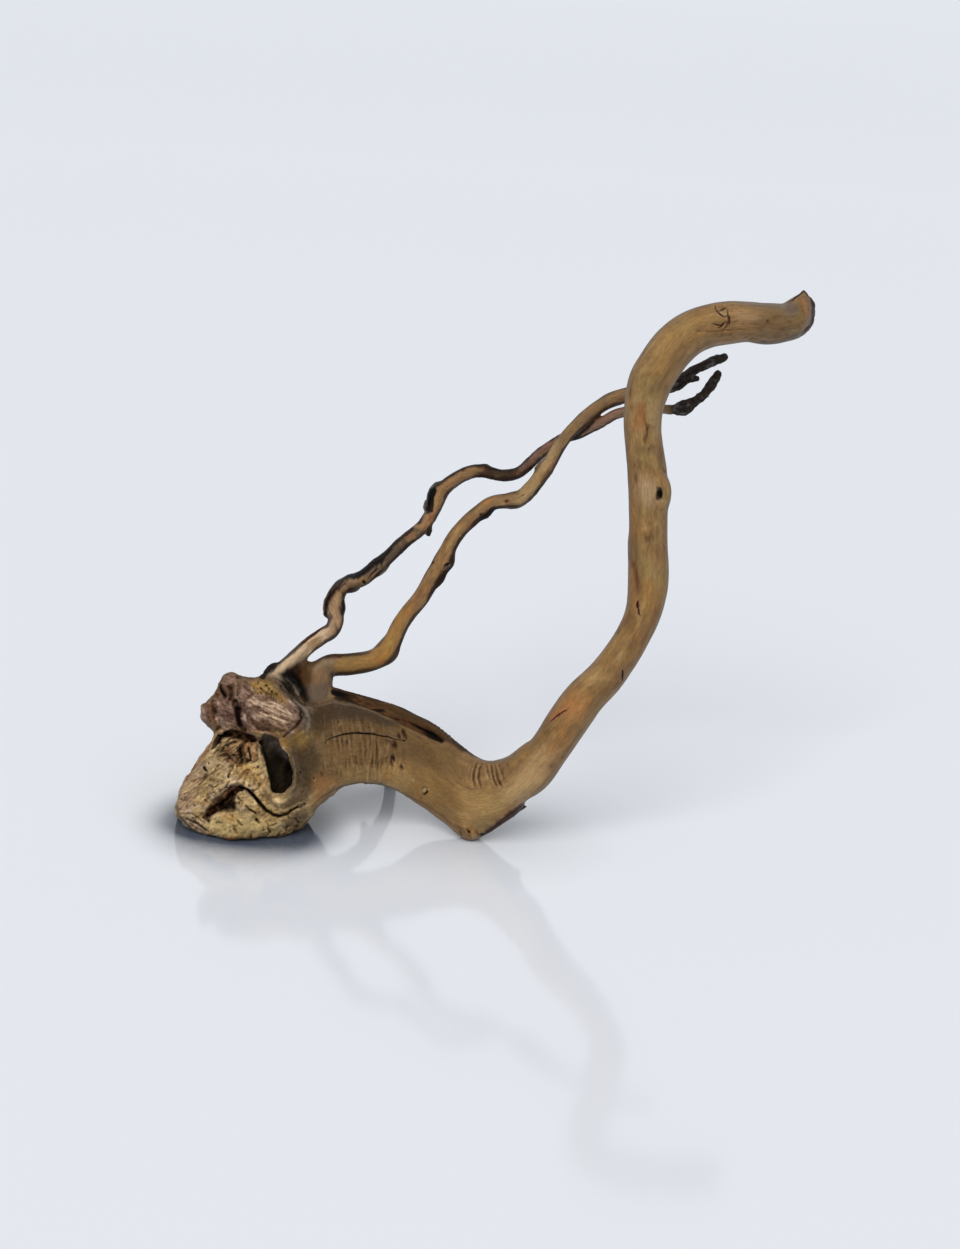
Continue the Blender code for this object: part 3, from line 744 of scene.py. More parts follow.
# ----------------------------------------------------------------- the wood
THORN = [(507, 803, 3, 13), (515, 806.5, 4, 6.5), (522, 807.5, 5, 2.8), (527.3, 806.6, 6, 1.0)]
HOOK_TIP = [(799, 318, 141, 14), (804, 306, 142, 9), (805.3, 298, 142.5, 5.0), (804.4, 291.4, 143, 2.2)]
HOOK_LIP = [(799, 321, 141, 16.4), (807, 316.5, 143, 12.4), (812, 311, 144, 8.6)]
KNOBS = [  # middle (right, down, back), half sizes, turn
    ((659.6, 493, 58), (7.6, 12, 8.4), 0), ((471, 825.5, 2.5), (9.5, 10.5, 10), 0),
    ((484, 826, 1), (6, 4.5, 6), 0), ((462, 824, 3), (6, 6, 7), 0),
]
BRANCH_KNOBS = [  # on the thin branches: right, down, back, radius, softness
    (428.2, 531.2, 109, 3.0, 3), (428.6, 534.6, 109, 1.4, 1.5), (446.2, 561.4, 101, 7.0, 7), (437.6, 577, 97, 6.6, 6), (485.5, 511.8, 116, 5.6, 5),
    (515, 500.5, 120, 7.4, 4), (485.8, 467.2, 127, 2.0, 1.5), (338.8, 608, 91, 5.8, 5), (387, 651, 69, 9.0, 6),
    (543, 470, 139, 6.4, 6), (684, 408, 138, 5.4, 4), (671, 382, 164, 5.6, 4), (352, 584, 91, 7.6, 5),
    (379, 567, 81, 6.4, 5), (430, 505, 122, 6.4, 4), (435, 492, 128, 5.8, 4), (321, 682, 47, 10.2, 6),
    (270.6, 670.7, 40, 2.4, 2), (274, 667.4, 42, 2.1, 2), (267.8, 674.2, 38, 1.9, 2),
]
FLAKE = [(331.5, 592.5, 94, 1.7), (327, 600, 92, 1.8), (325.4, 608, 90, 1.4), (324.6, 615.5, 88, 0.8)]
LIP = [(429, 513, 122, 1.5), (428, 506, 124, 1.9), (428.6, 498, 127, 2.1), (431, 490.5, 131, 2.3), (436, 485, 132, 2.5)]
BURL_OUTLINE = [
    (277, 663.5), (269.5, 666.5), (263.6, 676), (258, 678.2), (244, 677.4), (239, 675), (233.4, 672), (227, 670.6), (221, 676), (218.6, 683), (217, 690),
    (212.4, 697), (206, 702.5), (200, 703.6), (201.8, 719), (208.4, 726.6), (214.4, 731), (214.2, 738), (209.4, 745.6), (204.4, 750.6), (198.5, 756.6), (194.4, 765.5),
    (189, 773), (184.8, 779), (180.6, 789), (178, 799), (175.6, 808), (174.8, 814), (180.5, 820), (184.8, 826), (191, 832.5), (201, 838.5), (208, 836), (216, 836.5),
    (230, 841.5), (240, 838.5), (251, 840), (262, 837), (272, 839), (285, 837), (293, 831.5), (301, 828.5), (307, 822.5), (312.4, 815), (316.6, 808),
    (321.6, 803), (328, 798.4), (336.4, 791.6), (344.4, 787.6), (352, 785), (364, 783.2), (376, 784), (399, 793), (420, 800), (420, 641), (290, 641)]
MAIN = [(206, 790, 22), (232, 778, 22), (262, 762, 22), (300, 748, 20), (345, 740, 20), (387, 742, 23), (420, 757, 22), (450, 777, 15),
        (476, 792, 6), (502, 790, 0), (522, 774, -2), (540, 756, -2)] + [row[:3] for row in STEM[3:]] + [(815, 313, 144)]


def knob(field, u, v, back, r, k=3.0):
    m = sight(u, v, back)
    r = r * float((m - EYE) @ AHEAD) / PLANE
    part, x, y, z = window(m - r - 8, m + r + 8)
    d = np.sqrt((x - m[0]) ** 2 + (y - m[1]) ** 2 + (z - m[2]) ** 2) - r
    field[part] = merge(field[part], d.astype(np.float32), k)


def grow():
    field = np.full(tuple(COUNT), FAR, np.float32)
    limbs = {
        "stem": Limb("stem", seen(STEM)),
        "back": Limb("back", seen(BACK_BRANCH), 2.0),
        "front": Limb("front", seen(FRONT_BRANCH), 2.0),
        "twig": Limb("twig", seen(TWIG_STUB), 2.0),
        "leg": Limb("leg", REAR_LEG, 2.0),
        "spur": Limb("spur", LEG_SPUR, 2.0),
        "main": Limb("main", seen([(*row, 20) for row in MAIN]), 2.0),
    }
    # elbow, slab and stem run into each other
    slab(field, SLAB)
    stem = np.full_like(field, FAR)
    tube(stem, limbs["stem"])
    tube(stem, Limb("lip", seen(HOOK_LIP), 1.5))
    field = merge(field, stem, 7.0)
    stem[:] = FAR
    tube(stem, Limb("tip", seen(HOOK_TIP), 1.2))
    tube(stem, Limb("thorn", seen(THORN), 1.2))
    field = merge(field, stem, 5.0)
    del stem
    for middle, half, turn in KNOBS:
        m = sight(*middle)
        part, x, y, z = window(m - 24, m + 24)
        field[part] = merge(field[part], lump_distance(x, y, z, middle, half, turn), 5.0)

    # burl
    part, x, y, z = window((-62, -45, -8), (75, 80, 125))
    low = None
    for middle, half, turn in LUMPS:
        d = lump_distance(x, y, z, middle, half, turn)
        low = d if low is None else merge(low, d, 7.0)
    top = None
    for middle, half, turn in TOP_LUMPS:
        d = lump_distance(x, y, z, middle, half, turn)
        top = d if top is None else merge(top, d, 4.0)
    burl = merge(low, top, 3.0)
    field[part] = merge(field[part], burl, 9.0)
    # rough all round: knots of torn wood on the sides and the back
    block = field[part]
    band = np.abs(block) < 6
    i, j, k = np.nonzero(band)
    p = np.stack([AXES[0][part[0]][i], AXES[1][part[1]][j], AXES[2][part[2]][k]], 1)
    rough = 2.2 * fbm(p / 17.0, 3, 71) + 1.3 * ridged(p / 9.0, 3, 73)
    rough *= ramp(p[:, 0], 58, 30)
    block[band] += rough.astype(np.float32) * 0.8
    field[part] = block
    # drawn outline of the burl
    shape = Sheet(150, 640, 430, 880, ragged=1.3, seed=15)
    edge = shape.within(BURL_OUTLINE)
    shape.h = edge
    i, j, k = np.nonzero(np.abs(block) < 23)
    p = np.stack([AXES[0][part[0]][i], AXES[1][part[1]][j], AXES[2][part[2]][k]], 1)
    u, v, mm = seen_at(p)
    block[i, j, k] -= (1.4 * ramp(p[:, 0], 40, 20) + 1.6 * ramp(p[:, 0], 42, 50) * ramp(p[:, 0], 72, 60) * ramp(p[:, 2], 52, 38)).astype(np.float32)
    ends = ramp(p[:, 0], 60, 72)
    block[i, j, k] = clip(block[i, j, k], (-shape.read(u, v) * mm * (1 - ends) - FAR * ends).astype(np.float32), 2.5)
    field[part] = block

    thin = np.full_like(field, FAR)
    for name in ("back", "leg"):
        tube(thin, limbs[name])
    field = merge(field, thin, 5.0)
    thin[:] = FAR
    for name in ("front", "twig", "spur"):
        tube(thin, limbs[name])
    for row in BRANCH_KNOBS:
        knob(thin, *row)
    tube(thin, Limb("flake", seen(FLAKE), 1.2))
    tube(thin, Limb("lip", seen(LIP), 1.2))
    field = merge(field, thin, 5.0)
    del thin

    # hollows, gaps and folds
    dark = [
        (groove(field, [(266, 738, 4.5, -1), (271.6, 746, 9.2, 0.5), (277.4, 755, 13.0, 3.5), (281.6, 765, 14.4, 6), (283.8, 775.5, 14.0, 7), (283.4, 785.5, 12.2, 6.4)], 2.5), "hollow"),
        (groove(field, [(213, 747, 2.2, 1), (217.5, 741, 3.8, 2), (225, 736, 4.6, 3.5), (234, 735.0, 4.4, 3), (245, 737.4, 4.0, 2.5), (255, 741, 3.2, 2), (262, 743.4, 2.4, 1)], 1.6), "gap"),
        (groove(field, [(208, 815, 1.8, 0.4), (214, 809.6, 2.8, 1.4), (221, 804.5, 3.2, 1.8), (228, 799, 3.0, 2.2), (235, 792.5, 3.0, 2.2), (242, 788, 2.2, 0.8)], 2.0), "gap"),
        (groove(field, [(281.5, 675, 2.6, 0.2), (286.5, 682, 3.8, 0.7), (293, 689.5, 4.4, 0.8), (299, 696.5, 3.6, 0.5), (305, 703, 2.4, 0.1)], 5.5), "shade"),
        (groove(field, [(335.5, 692.2, 4.0, 0.8), (341, 694.0, 4.7, 1.2), (351, 697, 4.4, 1.2), (361, 701.4, 3.9, 1.2), (370, 706, 3.3, 1.0), (381, 710.8, 2.6, 0.8),
                        (395, 717.4, 2.4, 0.8), (411, 726, 2.6, 1.0), (427, 733.3, 3.0, 1.4), (434, 736.8, 3.0, 1.4), (441.5, 740.8, 1.8, 0.6)], 1.6), "trough"),
        (groove(field, [(430.8, 511, 1.6, 0.6), (431, 505, 2.4, 1.0), (432, 497, 2.5, 1.0), (434.7, 490.5, 1.6, 0.6)], 1.0), "gap"),
    ]
    # notches of the burl's underside
    for u, v, r in ((190, 831, 1.8), (209, 838, 2.2), (226, 840, 1.6), (247, 841, 2.4), (266, 840, 1.6), (287, 836, 2.0), (303, 827, 1.8)):
        groove(field, [(u - 1, v, r * 0.8, 0.0), (u + 1, v + 3, r * 1.3, 1.0)], 1.6)
    # small hole in the stem's knob
    m = sight(659.7, 492.8, 42)
    part, x, y, z = window(m - 20, m + 20)
    pit = lump_distance(x, y, z, (659.7, 492.8, 42), (2.3, 4.2, 13), 0)
    field[part] = cut(field[part], pit, 1.2)
    # torn end of the hook
    low = sight(790, 340, 120) - 4
    high = sight(822, 285, 170) + 10
    part, x, y, z = window(np.minimum(low, high) - 6, np.maximum(low, high) + 6)
    i, j, k = np.nonzero(np.abs(field[part]) < 23)
    p = np.stack([AXES[0][part[0]][i], AXES[1][part[1]][j], AXES[2][part[2]][k]], 1)
    u, v, mm = seen_at(p)
    limit = np.interp(v, [284, 290, 297, 306, 316, 324, 331, 340], [803.5, 804.8, 811, 814.6, 814, 811.4, 808, 800.5])
    end = (u - limit) * mm + 0.22 * (145 - p[:, 1]) + 1.1 * fbm(p / 3.2, 3, 77) + 0.9 * ridged(p / 7.0, 2, 78)
    block = field[part]
    block[i, j, k] = clip(block[i, j, k], end.astype(np.float32), 1.2)
    field[part] = block

    # the ground
    part, x, y, z = window((LOW[0], LOW[1], -12), (HIGH[0], HIGH[1], 14))
    field[part] = clip(field[part], -z + 0 * x + 0 * y, 1.5)
    return field, limbs, dark


# ---------------------------------------------------------------- the skin
def srgb(r, g, b):
    """Surface colour that shows as this sRGB value in the studio's light."""
    c = np.array([r, g, b]) / 255.0
    c = np.where(c <= 0.04045, c / 12.92, ((c + 0.055) / 1.055) ** 2.4)
    return np.maximum((c - np.array([0.012, 0.014, 0.017])) / 1.08, 0.25 * c)


GOLD, TAN, STRAW = srgb(136, 104, 63), srgb(150, 119, 77), srgb(182, 153, 106)
OCHRE, BROWN, DEEP = srgb(122, 91, 55), srgb(94, 68, 44), srgb(64, 47, 35)
GREY, PINK, RED = srgb(100, 85, 68), srgb(146, 116, 92), srgb(116, 66, 40)
SHADE, CHAR, ASH = srgb(48, 40, 33), srgb(50, 46, 45), srgb(120, 122, 124)
YELLOW, ORANGE, BLACK = srgb(170, 138, 78), srgb(150, 98, 50), srgb(20, 17, 15)


def mix(a, b, w):
    return a * (1 - w[:, None]) + b * w[:, None]


class Skin:
    """The wood's surface points, what is drawn on them and their colours."""

    def __init__(self, p, quads, limbs):
        self.p, self.quads, self.limbs = p, quads, limbs
        self.look()
        flat = np.stack([self.u / 6.0, self.v / 6.0, 0 * self.u], 1)
        self.wobble = 1.1 * fbm(flat, 3, 5), 1.1 * fbm(flat + 19.3, 3, 6)
        self.h = np.zeros(len(p))
        self.run = {name: self.follow(limb) for name, limb in limbs.items() if name != "stem"}
        self.weight = {}
        left = np.ones(len(p))
        names = ("twig", "spur", "front", "back", "leg")
        reach = 4.4 * ramp(self.u, 325, 345) * ramp(self.v, 690, 660)
        for name in names:
            gap = self.run[name][3]
            others = np.min([self.run[other][3] for other in names if other != name], axis=0)
            w = np.minimum(ramp(gap - reach, 2.6, 0.9) * ramp(others - gap, -0.5, 0.5), left)
            self.weight[name] = w
            left = left - w
        x = p[:, 0]
        burl = ramp(x + 5 * fbm(p / 12.0, 2, 55), 60, 40) * left
        self.weight["burl"] = burl
        self.weight["main"] = left - burl
        self.flow = sum(self.weight[n][:, None] * np.stack(self.run["main" if n == "burl" else n][:3], 1)
                        for n in self.weight)

    def look(self):
        p, q = self.p, self.quads
        n = np.cross(p[q[:, 2]] - p[q[:, 0]], p[q[:, 3]] - p[q[:, 1]])
        total = np.zeros_like(p)
        for c in range(4):
            for axis in range(3):
                total[:, axis] += np.bincount(q[:, c], n[:, axis], len(p))
        self.n = total / (np.linalg.norm(total, axis=1)[:, None] + 1e-12)
        self.u, self.v, self.mm = seen_at(p)
        ray = p - EYE
        ray /= np.linalg.norm(ray, axis=1)[:, None]
        self.ray = ray
        self.facing = -(self.n * ray).sum(1)

    def follow(self, limb):
        """Run along the nearest part of a limb, two offsets from its middle line, gap to its skin, side as seen."""
        c = limb.p.astype(np.float32)
        own = (c**2).sum(1)
        near = np.empty(len(self.p), int)
        for i in range(0, len(self.p), 30000):
            q = self.p[i : i + 30000].astype(np.float32)
            near[i : i + 30000] = (own[None, :] - 2 * q @ c.T).argmin(1)
        r = self.p - limb.p[near]
        s = limb.s[near] + np.clip((r * limb.t[near]).sum(1), -2, 2)
        side = np.cross(limb.t[near], self.ray)
        side /= np.linalg.norm(side, axis=1)[:, None] + 1e-9
        return (s, (r * limb.a[near]).sum(1), (r * limb.b[near]).sum(1),
                np.linalg.norm(r, axis=1) - limb.r[near], (r * side).sum(1) / limb.r[near])

    def hollows(self, rounds):
        """How far each point lies below (+) or above (-) the smoothed surface, mm."""
        q = self.quads
        a = np.concatenate([q[:, 0], q[:, 1], q[:, 2], q[:, 3]])
        b = np.concatenate([q[:, 1], q[:, 2], q[:, 3], q[:, 0]])
        count = np.bincount(a, minlength=len(self.p)) + np.bincount(b, minlength=len(self.p))
        p = self.p.copy()
        for _ in range(rounds):
            total = np.stack([np.bincount(a, p[b, i], len(p)) + np.bincount(b, p[a, i], len(p)) for i in range(3)], 1)
            p = total / count[:, None]
        return ((p - self.p) * self.n).sum(1)

    def reach(self, points, pad, where, wobble=1.0):
        pts = np.asarray(points, float).reshape(-1, 2)
        u, v = self.u + wobble * self.wobble[0], self.v + wobble * self.wobble[1]
        near = ((u > pts[:, 0].min() - pad) & (u < pts[:, 0].max() + pad) & (v > pts[:, 1].min() - pad)
                & (v < pts[:, 1].max() + pad) & (self.facing > 0.02))
        if where is not None:
            near &= sum(self.weight[n] for n in where.split()) > 0.5
        ids = np.nonzero(near)[0]
        u, v = u[ids], v[ids]
        best, along = np.full(len(ids), 1e9), np.zeros(len(ids))
        if len(pts) == 1:
            return ids, np.hypot(u - pts[0, 0], v - pts[0, 1]), along
        length = np.concatenate([[0], np.cumsum(np.linalg.norm(np.diff(pts, axis=0), axis=1))])
        for k in range(len(pts) - 1):
            g = pts[k + 1] - pts[k]
            t = np.clip(((u - pts[k, 0]) * g[0] + (v - pts[k, 1]) * g[1]) / (g @ g), 0, 1)
            d = np.hypot(u - pts[k, 0] - t * g[0], v - pts[k, 1] - t * g[1])
            better = d < best
            best = np.where(better, d, best)
            along = np.where(better, (length[k] + t * (length[k + 1] - length[k])) / length[-1], along)
        return ids, best, along

    def dent(self, points, width, depth, where=None, wobble=1.0, taper=0.3):
        ids, d, t = self.reach(points, width + 1, where, wobble)
        w = width * (1 - taper * (2 * t - 1) ** 2)
        self.h[ids] -= depth * ramp(d, w, w * 0.2) * ramp(self.facing[ids], 0.02, 0.2)

    def tint(self, points, width, colour, amount=1.0, where=None, soft=0.3, wobble=1.0, taper=0.3):
        width, amount = 1.15 * width, min(1.0, 1.12 * amount)
        ids, d, t = self.reach(points, width + 1, where, wobble)
        w = width * (1 - taper * (2 * t - 1) ** 2)
        k = amount * ramp(d, w, w * soft) * ramp(self.facing[ids], 0.02, 0.2)
        self.colour[ids] = mix(self.colour[ids], colour, k)

    def fill(self, outline, colour, amount=1.0, soft=2.0, where=None, wobble=1.5):
        """Colours what lies inside an outline of the sight plane."""
        pts = np.asarray(outline, float)
        ids, d, _ = self.reach(np.vstack([pts, pts[:1]]), soft + 1, where, wobble)
        u, v = self.u[ids] + wobble * self.wobble[0][ids], self.v[ids] + wobble * self.wobble[1][ids]
        inside = np.zeros(len(ids), bool)
        for k in range(len(pts)):
            (x0, y0), (x1, y1) = pts[k], pts[(k + 1) % len(pts)]
            crosses = (y0 > v) != (y1 > v)
            with np.errstate(divide="ignore", invalid="ignore"):
                inside ^= crosses & (u < (x1 - x0) * (v - y0) / (y1 - y0) + x0)
        d = np.where(inside, d, -d)
        k = amount * ramp(d, -soft, soft) * ramp(self.facing[ids], 0.02, 0.2)
        self.colour[ids] = mix(self.colour[ids], colour, k)
        return ids, k


    def region(self, outline, soft=4.0, wobble=1.5):
        """How far inside an outline of the sight plane each point seen there lies, 0 to 1."""
        keep, self.colour = getattr(self, "colour", None), np.zeros((len(self.p), 3))
        ids, amount = self.fill(outline, np.zeros(3), 1.0, soft, None, wobble)
        out = np.zeros(len(self.p))
        out[ids] = amount
        self.colour = keep
        return out

    def band(self, name, u0, u1, edge, colour, amount=0.9, seed=0, soft=0.08):
        """Colours a limb between two places, up to an edge across it: 1 its upper left rim, -1 its lower right one."""
        s, a, b, gap, side = self.run[name]
        way = 1 if edge > 0 else -1
        n = 0.22 * fbm(np.stack([s / 11, a / 6, b / 6], 1), 3, 400 + seed)
        w = ramp(way * side + n, abs(edge) - 1e-3, abs(edge) + soft) if edge else ramp(n, -0.03, 0.04)
        w = w * ramp(self.u + 14 * n, u0 - 3, u0 + 3) * ramp(self.u + 14 * n, u1 + 3, u1 - 3) * self.weight[name] * ramp(self.facing, -0.15, 0.05)
        self.colour = mix(self.colour, colour, amount * w)

    def coat(self, name, u0, u1, colour, amount=0.8, seed=0, cover=0.0, size=1.0):
        """Mottles a limb between two places."""
        s, a, b, gap, side = self.run[name]
        n = fbm(np.stack([s / 9 / size, a / 3.4 / size, b / 3.4 / size], 1), 4, 430 + seed)
        w = ramp(n, -cover - 0.07, -cover + 0.07) * ramp(self.u, u0 - 5, u0 + 5) * ramp(self.u, u1 + 5, u1 - 5) * self.weight[name]
        self.colour = mix(self.colour, colour, amount * w)


def stem(*points):
    """Points of the stem's upper drawing, 6.03 times larger than the sight plane."""
    return lines(6.03, 580, 380, points)


def shank(*points):
    return lines(6.533, 540, 540, points)


def hook(*points):
    return lines(6.533, 600, 270, points)


def forks(*points):
    return lines(7.467, 250, 560, points)


def boughs(*points):
    return lines(9.224, 400, 430, points)


def tips(*points):
    return lines(7.84, 540, 340, points)


HOOK_CRACKS = [hook((831, 226), (833, 270), (840, 300), (836, 340), (822, 372), (800, 396), (794, 424)),
               hook((750, 232), (760, 262), (784, 288), (806, 306), (834, 300)),
               hook((732, 352), (760, 356), (790, 362), (812, 344), (834, 332)), hook((770, 376), (796, 368), (812, 350)),
               hook((782, 268), (812, 252), (832, 248)), hook((846, 300), (850, 340), (838, 372))]


def carve(k):
    """Fine forms: swellings, flutes, cracks, pits and rough bark."""
    p = k.p
    s, a, b = k.flow.T
    w = k.weight
    limb = w["front"] + w["back"] + w["twig"] + w["leg"] + w["spur"]
    k.h += w["main"] * (0.7 * fbm(np.stack([s / 34, a / 18, b / 18], 1), 3, 101) + 0.16 * fbm(np.stack([s / 20, a / 5, b / 5], 1), 3, 102))
    k.h += limb * (0.5 * fbm(np.stack([s / 16, a / 8, b / 8], 1), 3, 103) + 0.2 * fbm(np.stack([s / 10, a / 2.4, b / 2.4], 1), 3, 104))
    seen = ramp(k.facing, -0.05, 0.2) * ramp(k.u, 325, 300)
    k.h += w["burl"] * (1 - 0.75 * seen) * (0.8 * ridged(p / 6.5, 3, 105) + 0.5 * fbm(p / 3.0, 2, 106))
    k.h += w["burl"] * seen * (0.25 * fbm(p / 1.9, 2, 110) + 0.35 * ridged(p / 4.2, 2, 111) - 0.1)
    # bark left on the thin branches, and charred rough ends
    far = ramp(k.u, 664, 676) * np.clip(w["front"] + w["back"] + w["twig"], 0, 1)
    n = fbm(np.stack([s / 26, a / 7, b / 7], 1), 3, 107)
    under = -k.n[:, 2] * 0.35
    behind = ramp(k.facing, 0.1, -0.3)
    k.bark = np.clip(behind * (w["back"] * ramp(n + under, -0.05, 0.1) + w["front"] * ramp(n + under, 0.2, 0.32))
                     + w["leg"] * ramp(n, -0.25, 0.0) + w["spur"] + w["twig"] + far, 0, 1)
    k.bark *= limb
    rough = np.clip(k.bark + w["back"] * ramp(k.u, 340, 352) * 0.6, 0, 1)
    k.h += rough * (0.12 + 0.4 * ridged(np.stack([s / 6, a / 2.4, b / 2.4], 1), 3, 108))
    k.h += far * 0.55 * ridged(np.stack([s / 5, a / 2.6, b / 2.6], 1), 2, 109)
    # thin branches
    k.dent(forks((560, 300), (575, 350), (590, 400)), 1.2, 0.9, "back", 0.5)
    k.dent(forks((845, 160), (860, 172)), 1.5, 2.0, "back", 0.5)
    k.dent(forks((390, 620), (470, 560), (540, 500), (590, 440)), 1.4, 0.9, "back", 0.5)
    for line in (((900, 110), (960, 60)), ((930, 130), (1000, 70)), ((880, 140), (930, 90))):
        k.dent(forks(*line), 1.1, 0.9, "back", 0.5)
    for x, y, r in ((985, 655, 2.0), (430, 1240, 2.2), (300, 1225, 1.2), (1130, 600, 1.2), (750, 775, 1.6), (740, 830, 2.0)):
        k.dent(boughs((x - 12, y + 6), (x + 12, y - 6)), r, 1.1, "front", 0.5)
    # stem
    k.dent(stem((466, 650), (482, 682), (494, 712)), 3.6, 0.9, "main", 0.3)
    k.dent(shank((634, 402), (640, 440), (644, 468), (652, 494)), 1.5, 1.0, "main", 0.4)
    k.dent(shank((76, 1180), (96, 1160), (140, 1130), (170, 1110)), 1.1, 1.0, "main", 0.4)
    k.dent(shank((540, 850), (538, 915)), 1.2, 0.7, "main", 0.4)
    for line in HOOK_CRACKS:
        k.dent(line, 1.0, 0.8, "main", 0.5, 0.6)
    k.dent(hook((640, 400), (760, 396), (900, 390), (1000, 384)), 0.7, 0.4, "main", 0.3)
    k.dent(hook((1095, 330)), 3.2, 0.5, "main", 0.4)
    k.dent(hook((930, 476), (1000, 446), (1080, 470)), 3.0, 0.6, "main", 0.4)
    # arch
    k.dent(SPLIT, 1.2, 1.1, "main burl", 0.4, 0.5)
    k.wrinkled = wrinkles(k)
    for mask, ridge in k.wrinkled:
        k.h += mask * 0.34 * ridge


def wrinkles(k):
    """Fine folds across the arch's face and the inside of the elbow: where they are, and their ridges."""
    s, a, b, gap, side = k.run["main"]
    warp = 1.3 * fbm(k.p / 11.0, 2, 131)
    one = ridged(np.stack([(s + warp) / 3.1, a / 24 + warp / 9, b / 24], 1), 2, 132)
    two = ridged(np.stack([(s + warp) / 4.0, a / 30 + warp / 9, b / 30], 1), 2, 133)
    broken = ramp(fbm(np.stack([s / 4.4, a / 9, b / 9], 1), 2, 134), -0.1, 0.35)
    face = k.region(arch((170, 400), (230, 330), (340, 300), (480, 340), (620, 430), (660, 520), (640, 640), (560, 690), (380, 690), (300, 640), (210, 520)), 20)
    bend = k.region(arch((1010, 600), (1100, 570), (1260, 575), (1320, 640), (1270, 740), (1180, 760), (1080, 740), (1010, 680)), 14)
    return [(face * broken, ramp(one, 0.15, 0.8) * 2 - 1), (bend * broken * 0.4, ramp(two, 0.1, 0.75) * 2 - 1)]


def paint(k):
    p = k.p
    s, a, b = k.flow.T
    w = k.weight
    big_grain = fbm(np.stack([s / 60, a / 9, b / 9], 1), 4, 201)
    streak = fbm(np.stack([s / 26, a / 2.6, b / 2.6], 1), 4, 202)
    fine = fbm(np.stack([s / 9, a / 1.1, b / 1.1], 1), 3, 203)
    patchy = fbm(p / 15.0, 4, 204)
    small = fbm(p / 4.5, 3, 205)
    one = np.ones(len(p))

    # barked-off limbs: golden with paler and browner streaks
    c = GOLD * one[:, None]
    c = mix(c, TAN, ramp(big_grain + 0.5 * patchy, -0.05, 0.5) * 0.75)
    c = mix(c, OCHRE, ramp(-big_grain + 0.5 * patchy, 0.0, 0.5) * 0.8)
    c = mix(c, srgb(128, 106, 66), ramp(fbm(p / 22.0, 3, 221), 0.05, 0.4) * 0.6)
    c = mix(c, BROWN, ramp(-streak - 0.6 * patchy + 0.4 * small, 0.16, 0.6) * 0.5)
    c = mix(c, srgb(164, 138, 96), ramp(streak * 0.7 + 0.8 * fbm(p / 7.0, 3, 230), 0.3, 0.6) * 0.5)
    c = mix(c, ORANGE, ramp(patchy * 0.8 - big_grain * 0.7 + 0.5 * small, 0.32, 0.75) * 0.32)
    # painted shade: darker towards the outline as seen from the camera, where the wood turns away from the eye
    c = mix(c, srgb(124, 108, 88), ramp(k.facing, 0.58, 0.16) * 0.5)
    c = mix(c, srgb(62, 53, 46), ramp(k.facing, 0.34, 0.08) * 0.62)
    # brown blotches and small dark specks
    c = mix(c, srgb(102, 70, 40), ramp(fbm(p / 5.2, 4, 227) + 0.4 * patchy, 0.22, 0.4) * 0.5)
    c = mix(c, srgb(58, 40, 26), ramp(fbm(p / 1.5, 2, 228) + 0.3 * fbm(p / 9.0, 2, 229), 0.52, 0.62) * 0.6)
    main = c
    # thin branches a little browner, bark remains dark
    thin = mix(mix(main, srgb(134, 104, 70), 0.6 * one), BROWN, ramp(fbm(np.stack([s / 14, a / 4, b / 4], 1), 3, 207), 0.05, 0.6) * 0.55)
    dark = mix(DEEP * one[:, None], CHAR, ramp(small + 0.5 * streak, -0.2, 0.3))
    dark = mix(dark, srgb(84, 72, 58), ramp(fbm(np.stack([s / 5, a / 1.6, b / 1.6], 1), 3, 208), 0.1, 0.5) * 0.6)
    far = ramp(k.u, 661, 676) * np.clip(w["front"] + w["back"] + w["twig"], 0, 1)
    dark = mix(dark, mix(CHAR * one[:, None], ASH, ramp(small + fine * 0.5, 0.22, 0.6) * 0.38), far)
    # burl: torn wood, pinkish above, straw below
    rise = ramp(p[:, 2] + 6 * patchy, 62, 72)
    mid = fbm(p / 7.5, 4, 222)
    down = fbm(np.stack([(0.766 * k.u - 0.643 * k.v) / 17, (0.643 * k.u + 0.766 * k.v) / 4.6, p[:, 1] / 12], 1), 4, 223)
    up = fbm(np.stack([(0.85 * k.u + 0.53 * k.v) / 15, (0.85 * k.v - 0.53 * k.u) / 4.2, p[:, 1] / 12], 1), 4, 224)
    near, second, name = cells(np.stack([(0.85 * k.u + 0.53 * k.v) / 9 + 0.4 * mid, (0.85 * k.v - 0.53 * k.u) / 5 + 0.4 * mid, p[:, 1] / 7], 1), 225)
    chip, seam = name - 0.5, ramp(second - near, 0.20, 0.03)
    torn_low = mix(srgb(164, 136, 94) * one[:, None], srgb(206, 180, 134), ramp(down + 0.6 * mid, 0.0, 0.4) * 0.9)
    torn_low = mix(torn_low, srgb(112, 82, 54), ramp(-down - 0.5 * mid + 0.4 * small, 0.1, 0.42) * 0.8)
    torn_low = mix(torn_low, srgb(164, 112, 60), ramp(fbm(p / 9.0, 3, 209), 0.2, 0.5) * 0.4)
    torn_low = mix(torn_low, srgb(172, 152, 132), ramp(fbm(p / 16.0, 3, 226) + ramp(k.u, 225, 180) * 0.3, 0.15, 0.4) * 0.6)
    torn_top = mix(srgb(128, 98, 84) * one[:, None], srgb(196, 168, 146), ramp(up + 0.5 * mid, 0.0, 0.4) * 0.85)
    torn_top = mix(torn_top, srgb(78, 54, 46), ramp(-up - 0.4 * mid + 0.4 * small, 0.08, 0.4) * 0.85)
    torn_top = np.clip(torn_top * (1 + 0.4 * chip[:, None]), 0.004, 1)
    torn_top = mix(torn_top, srgb(48, 33, 28), seam * 0.15)
    torn_low = np.clip(torn_low * (1 + 0.3 * chip[:, None]), 0.004, 1)
    burl = mix(torn_low, torn_top, rise)
